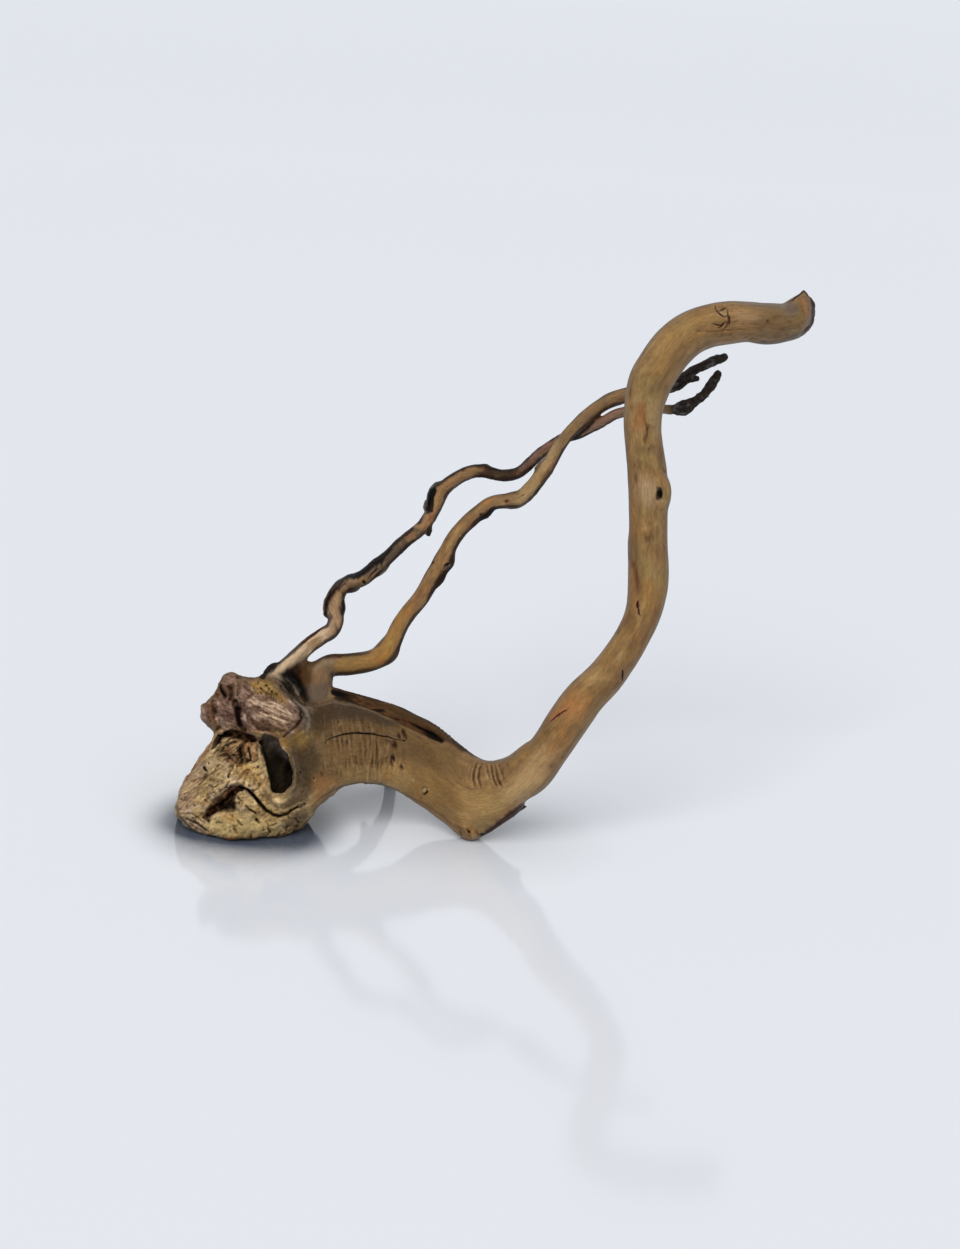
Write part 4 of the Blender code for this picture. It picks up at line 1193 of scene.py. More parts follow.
    # weathered skin of the burl's sides and back
    crown = mix(GREY * one[:, None], BROWN, ramp(patchy + 0.5 * streak, -0.2, 0.4))
    crown = mix(crown, OCHRE, ramp(fbm(p / 20.0, 3, 211), 0.0, 0.45) * 0.8)
    back = ramp(p[:, 1] + 5 * patchy + 0.25 * p[:, 2], 34, 50)
    burl = mix(burl, crown, back * 0.85)

    k.colour = main * w["main"][:, None] + burl * w["burl"][:, None]
    for name in ("back", "front", "twig", "leg", "spur"):
        k.colour += mix(thin, dark, k.bark) * w[name][:, None]
    k.colour = np.clip(k.colour * (1 + 0.22 * fine[:, None] + 0.24 * streak[:, None] + 0.16 * small[:, None]), 0.003, 1)

    drawn(k)

    # folds across the arch and the elbow: paler along their ridges, painted shade in their grooves
    for mask, ridge in k.wrinkled:
        k.colour = mix(k.colour, np.clip(k.colour * 1.5 + 0.015, 0, 1), np.clip(mask, 0, 1) * ramp(ridge, 0.3, 0.95) * 0.45)
        k.colour = mix(k.colour, k.colour * 0.55, np.clip(mask, 0, 1) * ramp(-ridge, 0.6, 1.0) * 0.3)

    # painted shade inside the hollow, the gaps, the pocket between the branch bases and the fold's slot, over some wood
    # colour; in the hollow it deepens to near black further in
    hollow_depth_shade = ramp(k.v - 742 + (268 - k.u) * 0.7, -3, 9)
    recess_shade = {
        "hollow": (mix(mix(srgb(64, 60, 60) * one[:, None], srgb(106, 98, 93), ramp(big_grain + patchy, -0.1, 0.4)), srgb(15, 14, 15), hollow_depth_shade), 0.97),
        "gap": (mix(srgb(24, 17, 13) * one[:, None], srgb(84, 58, 46), ramp(fbm(p / 2.6, 3, 233), -0.1, 0.3) * np.maximum(ramp(k.v, 780, 786), ramp(k.u, 222, 232) * ramp(k.v, 760, 750) * ramp(k.v, 700, 710)) * 0.9), 0.92),
        "shade": (mix(srgb(26, 21, 18) * one[:, None], srgb(78, 61, 47), np.maximum(ramp(k.u - 0.62 * (k.v - 680), 290, 300), ramp(k.v, 690, 699))), 0.8),
        "trough": (mix(mix(srgb(92, 66, 48) * one[:, None], srgb(36, 27, 21), ramp(streak + 0.4 * small, 0.0, 0.35)), BLACK, np.maximum(ramp(k.u, 362, 342), ramp(k.u, 417, 430)) * 0.95), 0.92),
    }
    for kind, inside in k.dark.items():
        colour, amount = recess_shade[kind]
        k.colour = mix(k.colour, colour * (1 + 0.5 * (patchy if kind == "hollow" else small)[:, None]), inside * amount)

    # painted shade in creases and hollows, paler on ridges
    close, wide = k.hollows(2) * (1 - k.dark["hollow"]), k.hollows(14)
    crease_shade = np.clip(ramp(close, 0.04, 0.26) * 0.6 + ramp(wide, 0.5, 2.6) * 0.7, 0, 1)
    k.colour = mix(k.colour, k.colour * np.array([0.30, 0.25, 0.20]), crease_shade)
    ridge_paling = ramp(-close, 0.03, 0.16) * 0.35 + ramp(-wide, 0.6, 1.8) * 0.15
    k.colour = mix(k.colour, np.clip(k.colour * 1.45 + 0.02, 0, 1), np.clip(ridge_paling, 0, 0.5) * (1 - 0.8 * np.max(list(k.dark.values()), axis=0)))
    k.torn = np.clip(w["burl"] * 0.9 + k.bark * 0.5, 0, 1)


def drawn(k):
    """Colours of single places: stains, scars, creases, dark bark, and painted shade and highlights in some folds,
    gaps, pockets and along some edges.
    """
    # arch
    on = "main burl"
    k.fill(arch((60, 480), (150, 300), (290, 225), (420, 240), (600, 310), (720, 370), (905, 455), (1010, 520), (1000, 640), (860, 640), (700, 560), (560, 600), (430, 640), (250, 700), (120, 780), (60, 640)), srgb(96, 74, 49), 0.85, 7, on)
    k.fill(arch((150, 300), (290, 225), (420, 240), (600, 310), (700, 362), (620, 380), (480, 340), (300, 330), (200, 360)), srgb(68, 57, 50), 0.88, 5, on)
    k.fill(arch((30, 560), (60, 470), (180, 440), (230, 560), (200, 700), (150, 800), (90, 900), (40, 800)), srgb(72, 61, 50), 0.85, 6, on)
    k.fill(arch((180, 250), (300, 230), (330, 330), (240, 420), (150, 400)), srgb(70, 57, 47), 0.75, 6, on)
    k.fill(arch((300, 470), (600, 490), (590, 560), (440, 580), (320, 560)), srgb(112, 85, 53), 0.6, 6, on)
    # near black at the left end of the fold's slot: painted shade
    k.fill(arch((302, 160), (420, 188), (560, 228), (560, 290), (470, 262), (302, 220)), srgb(42, 36, 32), 0.9, 1.6, on)
    k.fill(arch((440, 205), (620, 255), (800, 345), (905, 400), (960, 450), (930, 462), (905, 458), (820, 410), (640, 320), (470, 262)), srgb(98, 68, 48), 0.85, 1.6, on)
    k.fill(arch((286, 136), (420, 166), (560, 200), (700, 256), (860, 334), (980, 432), (1070, 520), (1010, 506), (960, 476), (900, 440), (800, 388), (620, 298), (420, 222), (290, 190)), srgb(70, 54, 41), 0.88, 1.6, on, 0.8)
    k.tint(arch((470, 250), (600, 296), (720, 352), (820, 404)), 1.8, srgb(124, 84, 56), 0.5, on, 0.1)
    # black in the fold's slot, most at its two ends: painted shade
    k.tint(arch((306, 186), (340, 194), (400, 212), (450, 232), (500, 254)), 2.8, BLACK, 0.9, on)
    k.tint(arch((440, 240), (560, 286), (640, 320), (730, 366), (820, 408)), 1.1, BLACK, 0.8, on)
    k.tint(arch((815, 404), (860, 428), (905, 452)), 2.6, BLACK, 0.95, on)
    k.tint(arch((332, 184), (420, 186), (620, 240), (800, 330), (900, 385), (980, 465), (1080, 535), (1180, 562)), 2.0, srgb(52, 44, 38), 0.75, on)
    k.tint(arch((640, 262), (760, 320), (860, 370), (960, 445)), 2.6, srgb(78, 60, 44), 0.6, on, 0.1)
    # paler line along the arch's lip: painted highlight
    k.tint(arch((200, 262), (300, 236), (420, 256), (500, 282), (620, 330), (740, 386), (830, 430)), 1.5, srgb(120, 102, 80), 0.3, on, 0.2)
    k.tint(SPLIT, 1.15, BLACK, 0.98, on, 0.45, 1.0, 0.5)
    k.fill(arch((600, 600), (700, 560), (860, 620), (1000, 740), (1010, 900), (1000, 930), (880, 860), (740, 770), (640, 720)), srgb(124, 95, 56), 0.75, 7, on)
    k.fill(arch((560, 590), (640, 590), (660, 690), (600, 690)), srgb(150, 104, 52), 0.5, 5, on)
    k.fill(arch((760, 600), (860, 640), (900, 740), (840, 770), (740, 700)), srgb(142, 112, 66), 0.4, 6, on)
    k.fill(arch((600, 596), (700, 600), (760, 680), (720, 720), (620, 686)), srgb(148, 120, 76), 0.6, 5, on)
    k.fill(arch((180, 640), (320, 660), (260, 720), (190, 780)), srgb(134, 92, 52), 0.6, 5, on)
    k.fill(arch((330, 600), (600, 600), (600, 682), (480, 690), (350, 688)), srgb(132, 104, 62), 0.6, 5, on)
    k.tint(arch((180, 815), (250, 758), (330, 712), (400, 694), (480, 688), (560, 696), (660, 730)), 1.6, srgb(70, 56, 44), 0.6, on, 0.1)
    k.tint(arch((700, 745), (800, 800), (900, 868), (990, 950)), 1.6, srgb(92, 70, 46), 0.55, on, 0.1)
    for x, y, r, z in ((690, 400, 3.2, 0.75), (668, 424, 2.8, 0.7), (640, 470, 4.0, 0.75), (612, 462, 3.0, 0.5), (634, 548, 3.6, 0.9), (622, 580, 2.8, 0.7), (682, 600, 2.2, 0.8),
                       (704, 432, 2.4, 0.6), (380, 460, 2.4, 0.5), (345, 455, 2.0, 0.4), (345, 640, 2.6, 0.4), (460, 345, 2.2, 0.4), (230, 640, 2.4, 0.5)):
        k.tint(arch((x - 4, y - 10), (x + 4, y + 10)), r, srgb(52, 36, 29), z, on, 0.1, 1.6)
    for x, y, z in ((745, 675, 0.6), (192, 668, 0.6)):
        k.tint(arch((x - 3, y - 3), (x + 3, y + 3)), 1.8, srgb(196, 168, 122), z, on, 0.1)
    k.tint(arch((806, 752), (820, 742), (824, 726)), 1.5, srgb(34, 26, 20), 0.9, on)
    k.tint(arch((800, 735), (820, 715), (830, 722)), 1.6, srgb(186, 158, 112), 0.6, on)
    k.tint(arch((796, 716), (812, 706), (828, 716)), 0.9, srgb(60, 44, 32), 0.7, on)
    k.tint(arch((750, 760), (770, 775)), 1.6, srgb(172, 122, 66), 0.5, on, 0.1)
    # elbow
    k.fill(arch((1010, 540), (1180, 575), (1280, 555), (1300, 620), (1200, 660), (1060, 680), (1000, 620)), srgb(118, 88, 60), 0.65, 6, "main")
    k.fill(arch((860, 480), (1010, 560), (1000, 700), (900, 640)), srgb(122, 94, 58), 0.5, 8, "main")
    k.fill(arch((1000, 720), (1180, 740), (1300, 700), (1420, 560), (1480, 640), (1340, 800), (1200, 880), (1040, 890)), srgb(174, 140, 88), 0.55, 10, "main")
    k.fill([(500, 792), (518, 768), (543, 744), (556, 756), (538, 784), (512, 808)], srgb(184, 152, 110), 0.4, 6, "main")
    k.tint(arch((980, 925), (1010, 945), (1030, 962)), 1.6, srgb(84, 58, 36), 0.6, "main")
    # painted shade in the elbow's creases, and a painted highlight on the ridge beside each
    for line, strong in ELBOW_CREASES:
        k.tint(line, 1.5, srgb(74, 54, 36), 0.55 * strong, "main", 0.1, 0.8, 0.8)
        k.tint([(x - 2.6, y) for x, y in line], 1.3, srgb(168, 136, 94), 0.4 * strong, "main", 0.1, 0.8, 0.8)
    k.tint(arch((1056, 958), (1060, 964)), 1.8, BLACK, 0.9, "main", 0.3, 0.3)
    k.tint(arch((1130, 985), (1144, 972)), 2.0, BLACK, 0.8, "main")
    k.fill(arch((1104, 982), (1168, 940), (1207, 911), (1246, 878), (1292, 843), (1343, 809), (1385, 793), (1400, 830), (1340, 900), (1280, 940), (1240, 965), (1180, 1005)), srgb(52, 38, 31), 0.94, 1.2, "main", 2.0)
    k.fill(arch((1180, 900), (1230, 860), (1290, 806), (1330, 790), (1310, 832), (1256, 870), (1220, 905)), srgb(116, 78, 46), 0.45, 4, "main")
    # stem
    k.tint(shank((250, 860), (330, 900), (440, 900)), 12, srgb(186, 152, 100), 0.3, "main", 0.0)
    k.fill(shank((560, 60), (600, 120), (640, 250), (645, 330), (660, 420), (600, 440), (575, 300)), srgb(146, 104, 62), 0.5, 4, "main")
    k.tint(shank((606, 140), (620, 190), (634, 250), (640, 330)), 3.2, srgb(94, 60, 36), 0.88, "main", 0.25)
    k.tint(shank((585, 95), (590, 130)), 2.6, srgb(84, 70, 60), 0.7, "main", 0.2)
    k.tint(shank((636, 404), (640, 440)), 2.2, srgb(64, 32, 18), 0.95, "main", 0.3, 0.4)
    k.tint(shank((642, 440), (646, 470), (652, 494)), 1.1, srgb(84, 34, 18), 0.9, "main", 0.3, 0.4)
    k.fill(shank((680, 250), (740, 300), (750, 420), (690, 470), (660, 400)), srgb(150, 110, 60), 0.45, 5, "main")
    k.tint(shank((780, 200), (780, 330)), 3.5, srgb(130, 112, 62), 0.5, "main", 0.0)
    k.tint(shank((538, 850), (540, 885), (536, 925)), 1.5, srgb(52, 40, 32), 0.9, "main", 0.3)
    for x, y, r in ((400, 985, 2.4), (425, 940, 1.8), (455, 930, 2.0), (330, 968, 2.2), (350, 1000, 1.6), (300, 1030, 1.8), (230, 970, 1.6), (250, 900, 1.4),
                    (500, 950, 2.2), (380, 930, 1.6), (290, 960, 1.4), (440, 980, 1.5), (520, 790, 1.4), (240, 1290, 1.8), (185, 1355, 2.0), (40, 1400, 2.0), (300, 850, 1.2)):
        k.tint(shank((x - 5, y + 6), (x + 5, y - 6)), r, srgb(92, 62, 36), 0.65, "main", 0.1)
    k.fill(shank((160, 1010), (260, 990), (330, 1060), (280, 1170), (180, 1180), (130, 1110)), srgb(178, 122, 72), 0.45, 8, "main")
    k.tint(shank((76, 1182), (96, 1160), (140, 1132), (170, 1110)), 1.5, srgb(96, 36, 18), 0.9, "main", 0.3)
    k.tint(shank((60, 1160), (120, 1120), (180, 1080)), 4.0, srgb(160, 96, 60), 0.4, "main", 0.0)
    k.tint(stem((405, 962)), 5.4, srgb(98, 70, 38), 0.9, "main", 0.2)
    k.tint(stem((398, 950), (412, 976)), 2.2, srgb(68, 46, 25), 0.8, "main", 0.1)
    k.tint(stem((480, 655), (482, 705)), 3.4, BLACK, 1.0, "main", 0.6, 0.2)
    k.tint(stem((470, 715), (496, 735)), 2.0, srgb(120, 104, 86), 0.6, "main")
    k.fill(stem((350, 590), (450, 600), (460, 700), (440, 760), (360, 740)), srgb(178, 150, 118), 0.5, 6, "main")
    k.fill(stem((410, 100), (490, 120), (490, 330), (440, 380), (410, 250)), srgb(154, 132, 92), 0.5, 6, "main")
    k.tint(stem((372, 165), (384, 215), (392, 262)), 3.0, srgb(118, 76, 43), 0.85, "main", 0.2)
    k.tint(stem((335, 160), (345, 220), (330, 290)), 2.6, srgb(138, 90, 52), 0.5, "main", 0.1)
    k.tint(stem((408, 272), (400, 320), (388, 372)), 2.0, srgb(72, 52, 32), 0.95, "main", 0.3)
    k.tint(stem((428, 282), (446, 288)), 1.5, srgb(94, 72, 44), 0.75, "main", 0.3)
    k.tint(stem((388, 432), (412, 420), (440, 404)), 1.9, srgb(76, 53, 31), 0.9, "main", 0.3)
    for x, y, r in ((330, 515, 1.4), (338, 575, 0.9), (342, 605, 1.3), (342, 640, 0.9), (510, 550, 1.4), (350, 690, 0.8), (465, 905, 1.3), (300, 60, 1.2), (296, 90, 1.0)):
        k.tint(stem((x, y - 5), (x, y + 5)), r + 0.5, srgb(84, 52, 32), 0.9, "main", 0.3)
    # hook
    k.fill(hook((380, 420), (560, 300), (760, 230), (720, 330), (600, 400), (480, 520), (380, 700), (330, 640)), srgb(158, 122, 72), 0.45, 10, "main")
    k.tint(hook((540, 500), (600, 440), (680, 400), (780, 370)), 3.0, srgb(134, 98, 50), 0.6, "main", 0.1)
    k.tint(hook((540, 490), (552, 500)), 2.6, srgb(86, 62, 36), 0.8, "main", 0.2)
    k.tint(hook((500, 560), (470, 620), (430, 690), (395, 745)), 2.6, srgb(104, 76, 44), 0.75, "main", 0.1)
    k.tint(hook((400, 740), (372, 790)), 2.6, srgb(88, 66, 40), 0.6, "main", 0.1)
    k.tint(hook((265, 615), (285, 625)), 1.5, srgb(120, 70, 44), 0.7, "main", 0.2)
    k.tint(hook((188, 785), (200, 800)), 1.8, srgb(104, 60, 42), 0.8, "main", 0.2)
    k.tint(hook((262, 870), (270, 960), (256, 1040)), 3.2, srgb(144, 92, 52), 0.55, "main", 0.1)
    k.tint(hook((305, 1030), (325, 1020)), 1.5, srgb(84, 62, 40), 0.8, "main", 0.2)
    for line in HOOK_CRACKS:
        k.tint(line, 1.6, srgb(118, 86, 54), 0.5, "main", 0.2, 0.6)
        k.tint(line, 1.0, srgb(60, 44, 29), 0.9, "main", 0.3, 0.5, 0.8)
    k.tint(hook((640, 400), (760, 396), (900, 390), (1000, 384)), 0.8, srgb(108, 70, 40), 0.6, "main", 0.3, 0.3)
    k.fill(hook((860, 260), (1060, 250), (1080, 330), (900, 340)), srgb(182, 148, 112), 0.4, 8, "main")
    k.tint(hook((1095, 330)), 4.2, srgb(110, 74, 48), 0.75, "main", 0.1)
    k.tint(hook((1154, 296)), 2.0, srgb(92, 62, 44), 0.75, "main", 0.2)
    k.tint(hook((985, 444)), 1.6, srgb(80, 62, 48), 0.7, "main", 0.2)
    k.fill(hook((1000, 250), (1240, 240), (1300, 300), (1340, 400), (1200, 480), (1060, 500), (1000, 420)), srgb(98, 77, 53), 0.6, 10, "main")
    k.fill(hook((860, 200), (1240, 208), (1290, 250), (1200, 260), (1000, 240)), srgb(108, 97, 84), 0.65, 4, "main")
    k.fill(hook((1180, 220), (1260, 200), (1300, 280), (1220, 300)), srgb(124, 104, 92), 0.55, 5, "main")
    k.fill(hook((1300, 190), (1345, 150), (1400, 230), (1390, 330), (1330, 300)), srgb(112, 79, 52), 0.7, 3, "main")
    k.tint(hook((1240, 212), (1290, 170), (1335, 132)), 1.6, srgb(52, 34, 26), 0.9, "main", 0.2)
    k.tint(hook((1335, 132), (1375, 180), (1402, 240), (1392, 320), (1366, 376), (1320, 408)), 2.9, srgb(56, 41, 32), 0.95, "main", 0.2)
    k.fill([(784, 304), (797, 303), (800, 309), (793, 314), (785, 313)], srgb(92, 76, 66), 0.65, 3, "main")
    for x, y, r in ((768.3, 321.1, 3.4), (777, 315.9, 2.6), (775.3, 336, 2.2), (746, 337, 1.8), (752, 338.4, 1.8), (783, 330, 2.6), (760, 328, 2.0), (737, 322, 1.8), (790, 322, 2.8)):
        k.tint([(x - 1.5, y + 0.6), (x + 1.5, y - 0.6)], r, srgb(80, 60, 43), 0.6, "main", 0.0, 2.0)
    k.tint([(757.8, 343.4), (782, 341), (803, 331.5)], 2.6, srgb(84, 74, 64), 0.6, "main", 0.1)
    k.tint([(803, 299), (805.6, 306), (806.6, 314)], 3.0, srgb(150, 108, 72), 0.55, "main", 0.1)
    k.tint(hook((1120, 490), (1240, 462), (1340, 412)), 2.0, srgb(92, 80, 68), 0.7, "main", 0.2)
    # thin branches
    k.coat("back", 262, 345, srgb(162, 131, 98), 0.85, 1, 0.5, 2.0)
    k.coat("back", 266, 330, srgb(206, 178, 144), 0.82, 19, 0.22, 1.6)
    k.coat("back", 262, 345, srgb(112, 84, 62), 0.5, 20, -0.26)
    k.coat("back", 345, 390, srgb(104, 80, 58), 0.7, 2, 0.1)
    k.coat("back", 384, 424, srgb(78, 68, 57), 0.9, 3, 0.35)
    k.coat("back", 384, 424, srgb(122, 84, 62), 0.7, 4, -0.2)
    k.coat("back", 424, 474, srgb(142, 106, 70), 0.75, 5, 0.2)
    k.coat("back", 476, 532, srgb(54, 44, 34), 0.92, 6, 0.45)
    k.coat("back", 474, 500, srgb(104, 80, 54), 0.5, 7, -0.2)
    k.coat("back", 528, 580, srgb(112, 82, 66), 0.8, 8, 0.1)
    k.coat("back", 572, 640, srgb(120, 92, 76), 0.8, 9, 0.2)
    for u0, u1, edge, z in ((262, 330, 0.58, 0.92), (330, 352, 0.5, 0.9), (345, 392, 0.2, 0.95), (388, 424, 0.45, 0.9), (424, 440, 0.55, 0.9), (438, 476, 0.5, 0.9),
                            (474, 530, 0.55, 0.85), (528, 582, 0.6, 0.8), (580, 640, 0.7, 0.6)):
        k.band("back", u0, u1, edge, srgb(36, 32, 29), z, u0)
    # dark along the lower right rim: bark, and painted shade on that side
    for u0, u1, edge, z in ((262, 326, -0.72, 0.75), (322, 352, -0.55, 0.85), (350, 392, -0.72, 0.7), (388, 424, -0.5, 0.85), (424, 452, -0.55, 0.85), (450, 476, -0.6, 0.8),
                            (474, 532, -0.45, 0.85), (528, 590, -0.5, 0.9), (586, 640, -0.6, 0.8)):
        k.band("back", u0, u1, edge, srgb(44, 37, 32), z, u0 + 1)
    k.coat("front", 296, 340, srgb(108, 88, 68), 0.85, 11, 0.35, 2.0)
    k.coat("front", 336, 372, srgb(138, 106, 64), 0.75, 12, 0.25, 1.6)
    k.coat("front", 368, 408, srgb(150, 110, 60), 0.8, 13, 0.3, 1.6)
    k.coat("front", 404, 470, srgb(142, 108, 68), 0.75, 14, 0.1, 1.4)
    k.coat("front", 404, 470, srgb(112, 82, 56), 0.65, 15, -0.12)
    k.coat("front", 464, 520, srgb(128, 100, 70), 0.75, 16, 0.1)
    k.coat("front", 516, 560, srgb(160, 132, 92), 0.8, 17, 0.2, 1.4)
    k.coat("front", 556, 640, srgb(120, 95, 68), 0.8, 18, 0.2)
    for u0, u1, edge, z in ((312, 372, 0.72, 0.8), (370, 400, 0.86, 0.7), (398, 470, 0.84, 0.7), (468, 520, 0.8, 0.75), (516, 570, 0.84, 0.7), (566, 640, 0.74, 0.75)):
        k.band("front", u0, u1, edge, srgb(66, 56, 46), z, u0 + 2)
    # dark along the lower right rim: bark, and painted shade on that side
    for u0, u1, edge, z in ((330, 372, -0.62, 0.8), (368, 402, -0.66, 0.85), (398, 430, -0.62, 0.85), (426, 446, -0.45, 0.9), (444, 472, -0.55, 0.9), (468, 496, -0.38, 0.95),
                            (494, 540, -0.62, 0.85), (536, 574, -0.55, 0.9), (570, 640, -0.6, 0.8)):
        k.band("front", u0, u1, edge, srgb(46, 38, 32), z, u0 + 3)
    k.fill([(258.5, 679), (262, 667), (270, 660), (278, 659), (281, 663.5), (275, 668.5), (268.5, 674), (264, 680)], srgb(30, 27, 25), 0.95, 1.0, None, 0.6)
    k.tint([(331, 592), (327, 600), (325.4, 608), (324.6, 615)], 2.6, srgb(34, 30, 28), 0.95, None, 0.3)
    k.tint([(430, 517), (428.6, 512), (427.4, 506), (428, 498), (430.5, 490.5), (436, 485)], 2.0, srgb(50, 46, 43), 0.92, None, 0.3)
    k.tint([(428, 531), (429, 535)], 2.6, srgb(56, 44, 36), 0.9, None, 0.3)
    k.tint([(452, 556), (453.6, 564), (451, 571)], 3.0, srgb(54, 44, 36), 0.85, "front", 0.2)
    k.tint([(446, 572), (445, 580), (441, 587)], 2.8, srgb(60, 48, 38), 0.85, "front", 0.2)
    # painted shade in the pocket between the branch bases, darkest towards its left
    k.fill([(283, 673), (296, 660), (306, 654), (315, 660), (314, 676), (310, 700), (303, 700), (292, 686)], srgb(80, 61, 45), 0.8, 4)
    k.fill([(280, 674), (288, 668), (298, 662), (303, 668), (302, 680), (306, 694), (309, 704), (300, 701), (291, 691)], srgb(48, 37, 29), 0.85, 3.5)
    k.fill([(279, 673), (287, 669.5), (295, 673), (303, 681), (309, 690), (311, 701), (306, 703), (297, 695), (287, 685)], srgb(24, 19, 17), 0.95, 2.5)
    k.fill(forks((380, 800), (460, 780), (470, 900), (430, 960), (390, 880)), srgb(78, 58, 44), 0.8, 4)
    k.fill(forks((450, 800), (560, 800), (560, 920), (480, 930)), srgb(128, 94, 60), 0.6, 5)
    k.fill(forks((430, 940), (590, 920), (600, 1040), (480, 1070), (440, 1040)), srgb(92, 78, 66), 0.8, 4)
    k.tint(forks((445, 1070), (490, 1072)), 2.0, srgb(70, 58, 50), 0.7, None, 0.1)
    k.tint(forks((500, 740), (600, 714), (720, 708), (820, 696)), 1.6, srgb(58, 46, 36), 0.8, "front")
    k.tint(forks((620, 740), (650, 722), (690, 728)), 1.6, srgb(66, 44, 30), 0.8, "front")
    k.fill(forks((480, 790), (560, 745), (640, 735), (640, 765), (540, 785), (470, 850)), srgb(150, 128, 98), 0.5, 2.5, "front")
    k.fill(forks((640, 760), (860, 730), (1000, 700), (1000, 790), (860, 810), (640, 830)), srgb(150, 112, 58), 0.55, 4, "front")
    k.tint(forks((1000, 720), (1010, 690)), 5.0, srgb(172, 120, 52), 0.7, "front", 0.0)
    k.tint(forks((960, 745), (985, 765)), 3.2, srgb(160, 96, 44), 0.6, "front", 0.0)
    k.tint(forks((1030, 640), (1060, 600)), 3.0, srgb(150, 130, 60), 0.5, "front", 0.0)
    k.tint(forks((1160, 420), (1190, 370), (1220, 330)), 3.4, srgb(162, 110, 58), 0.6, "front", 0.0)
    k.tint(forks((1250, 290), (1310, 250)), 4.0, srgb(122, 78, 52), 0.6, "front", 0.0)
    k.tint(forks((1300, 250), (1330, 200)), 3.0, srgb(150, 104, 66), 0.5, "front", 0.1)
    k.tint(forks((380, 630), (470, 560), (540, 500), (600, 430)), 1.8, srgb(62, 40, 28), 0.9, "back", 0.2)
    k.tint(forks((400, 605), (450, 580), (500, 550)), 1.2, srgb(86, 42, 30), 0.7, "back", 0.2)
    k.tint(forks((640, 480), (660, 560), (600, 600)), 2.2, srgb(50, 40, 34), 0.8, "back", 0.2)
    k.tint(forks((590, 400), (602, 330), (640, 270), (700, 215)), 4.4, srgb(158, 124, 90), 0.7, "back", 0.1)
    k.tint(forks((580, 560), (620, 500), (632, 440)), 4.4, srgb(150, 120, 92), 0.6, "back", 0.1)
    k.tint(forks((574, 430), (566, 360), (590, 290), (640, 215), (700, 160)), 1.6, srgb(34, 30, 28), 0.9, "back", 0.2)
    k.tint(forks((600, 300), (640, 235), (690, 190), (720, 172)), 1.3, srgb(70, 38, 28), 0.9, "back", 0.2)
    k.tint(forks((580, 425), (606, 380), (612, 330)), 0.9, srgb(50, 38, 32), 0.8, "back", 0.2)
    k.tint(forks((692, 305), (700, 360), (692, 402)), 2.6, srgb(26, 23, 22), 0.97, "back", 0.3)
    k.tint(forks((740, 150), (780, 175), (830, 160)), 3.0, srgb(150, 114, 82), 0.6, "back", 0.1)
    k.tint(forks((720, 130), (790, 120), (850, 100), (930, 30), (1000, 0)), 3.6, srgb(30, 29, 29), 0.95, "back", 0.2)
    k.tint(forks((860, 125), (910, 90), (960, 50), (1010, 10)), 3.0, srgb(112, 90, 72), 0.75, "back", 0.1, 2.0)
    for line in (((890, 130), (930, 80), (950, 30)), ((920, 140), (975, 70), (980, 20)), ((870, 110), (900, 60), (930, 20))):
        k.tint(forks(*line), 0.9, srgb(36, 28, 25), 0.9, "back", 0.3)
    k.tint(forks((846, 160), (858, 172)), 2.0, BLACK, 0.98, "back", 0.5)
    k.tint(forks((880, 190), (960, 130), (1020, 70)), 1.6, srgb(108, 102, 94), 0.6, "back", 0.2)
    k.tint(boughs((120, 880), (190, 900), (240, 830), (280, 740), (340, 620)), 4.0, srgb(150, 112, 76), 0.65, "back", 0.1)
    k.tint(boughs((270, 830), (300, 780), (310, 740)), 2.2, srgb(132, 78, 50), 0.6, "back", 0.1)
    k.tint(boughs((330, 540), (285, 560), (262, 620), (254, 700), (262, 756)), 2.8, srgb(18, 15, 13), 0.98, "back", 0.5)
    k.tint(boughs((242, 700), (246, 600), (270, 540), (320, 500), (380, 478)), 1.3, srgb(74, 70, 66), 0.85, "back", 0.2)
    k.tint(boughs((330, 620), (345, 560), (420, 500), (480, 450)), 3.4, srgb(156, 118, 74), 0.65, "back", 0.1)
    k.tint(boughs((250, 965), (275, 950), (300, 900), (340, 830)), 2.0, srgb(32, 27, 24), 0.9, "back", 0.2)
    k.tint(boughs((620, 380), (700, 372), (760, 368)), 3.2, srgb(128, 98, 62), 0.7, "back", 0.1)
    k.tint(boughs((740, 365), (770, 350)), 2.0, srgb(116, 68, 48), 0.6, "back", 0.1)
    k.tint(boughs((1080, 400), (1180, 310), (1280, 210), (1390, 120)), 3.6, srgb(112, 82, 72), 0.7, "back", 0.1)
    k.tint(boughs((1370, 150), (1390, 120)), 2.4, srgb(136, 88, 68), 0.6, "back", 0.1)
    k.tint(boughs((1040, 400), (1100, 385), (1130, 400)), 1.6, srgb(92, 56, 40), 0.6, "back", 0.2)
    k.tint(boughs((740, 860), (760, 800), (860, 745), (940, 725)), 3.2, srgb(30, 25, 22), 0.95, "front", 0.3)
    k.tint(boughs((330, 1480), (380, 1380), (460, 1290), (490, 1200)), 3.2, srgb(48, 38, 31), 0.9, "front", 0.2)
    k.tint(boughs((412, 1250), (452, 1232)), 1.9, srgb(24, 19, 16), 0.95, "front", 0.4)
    k.tint(boughs((400, 1286), (440, 1262), (470, 1240)), 1.2, srgb(120, 98, 76), 0.6, "front", 0.2)
    k.tint(boughs((286, 1246), (306, 1205)), 1.5, srgb(50, 32, 23), 0.85, "front", 0.3)
    k.tint(boughs((985, 655)), 4.4, srgb(112, 66, 40), 0.85, "front", 0.3)
    k.tint(boughs((985, 656)), 2.6, srgb(142, 104, 76), 0.7, "front", 0.4)
    k.tint(boughs((975, 668), (990, 655)), 1.2, srgb(60, 36, 26), 0.95, "front", 0.3)
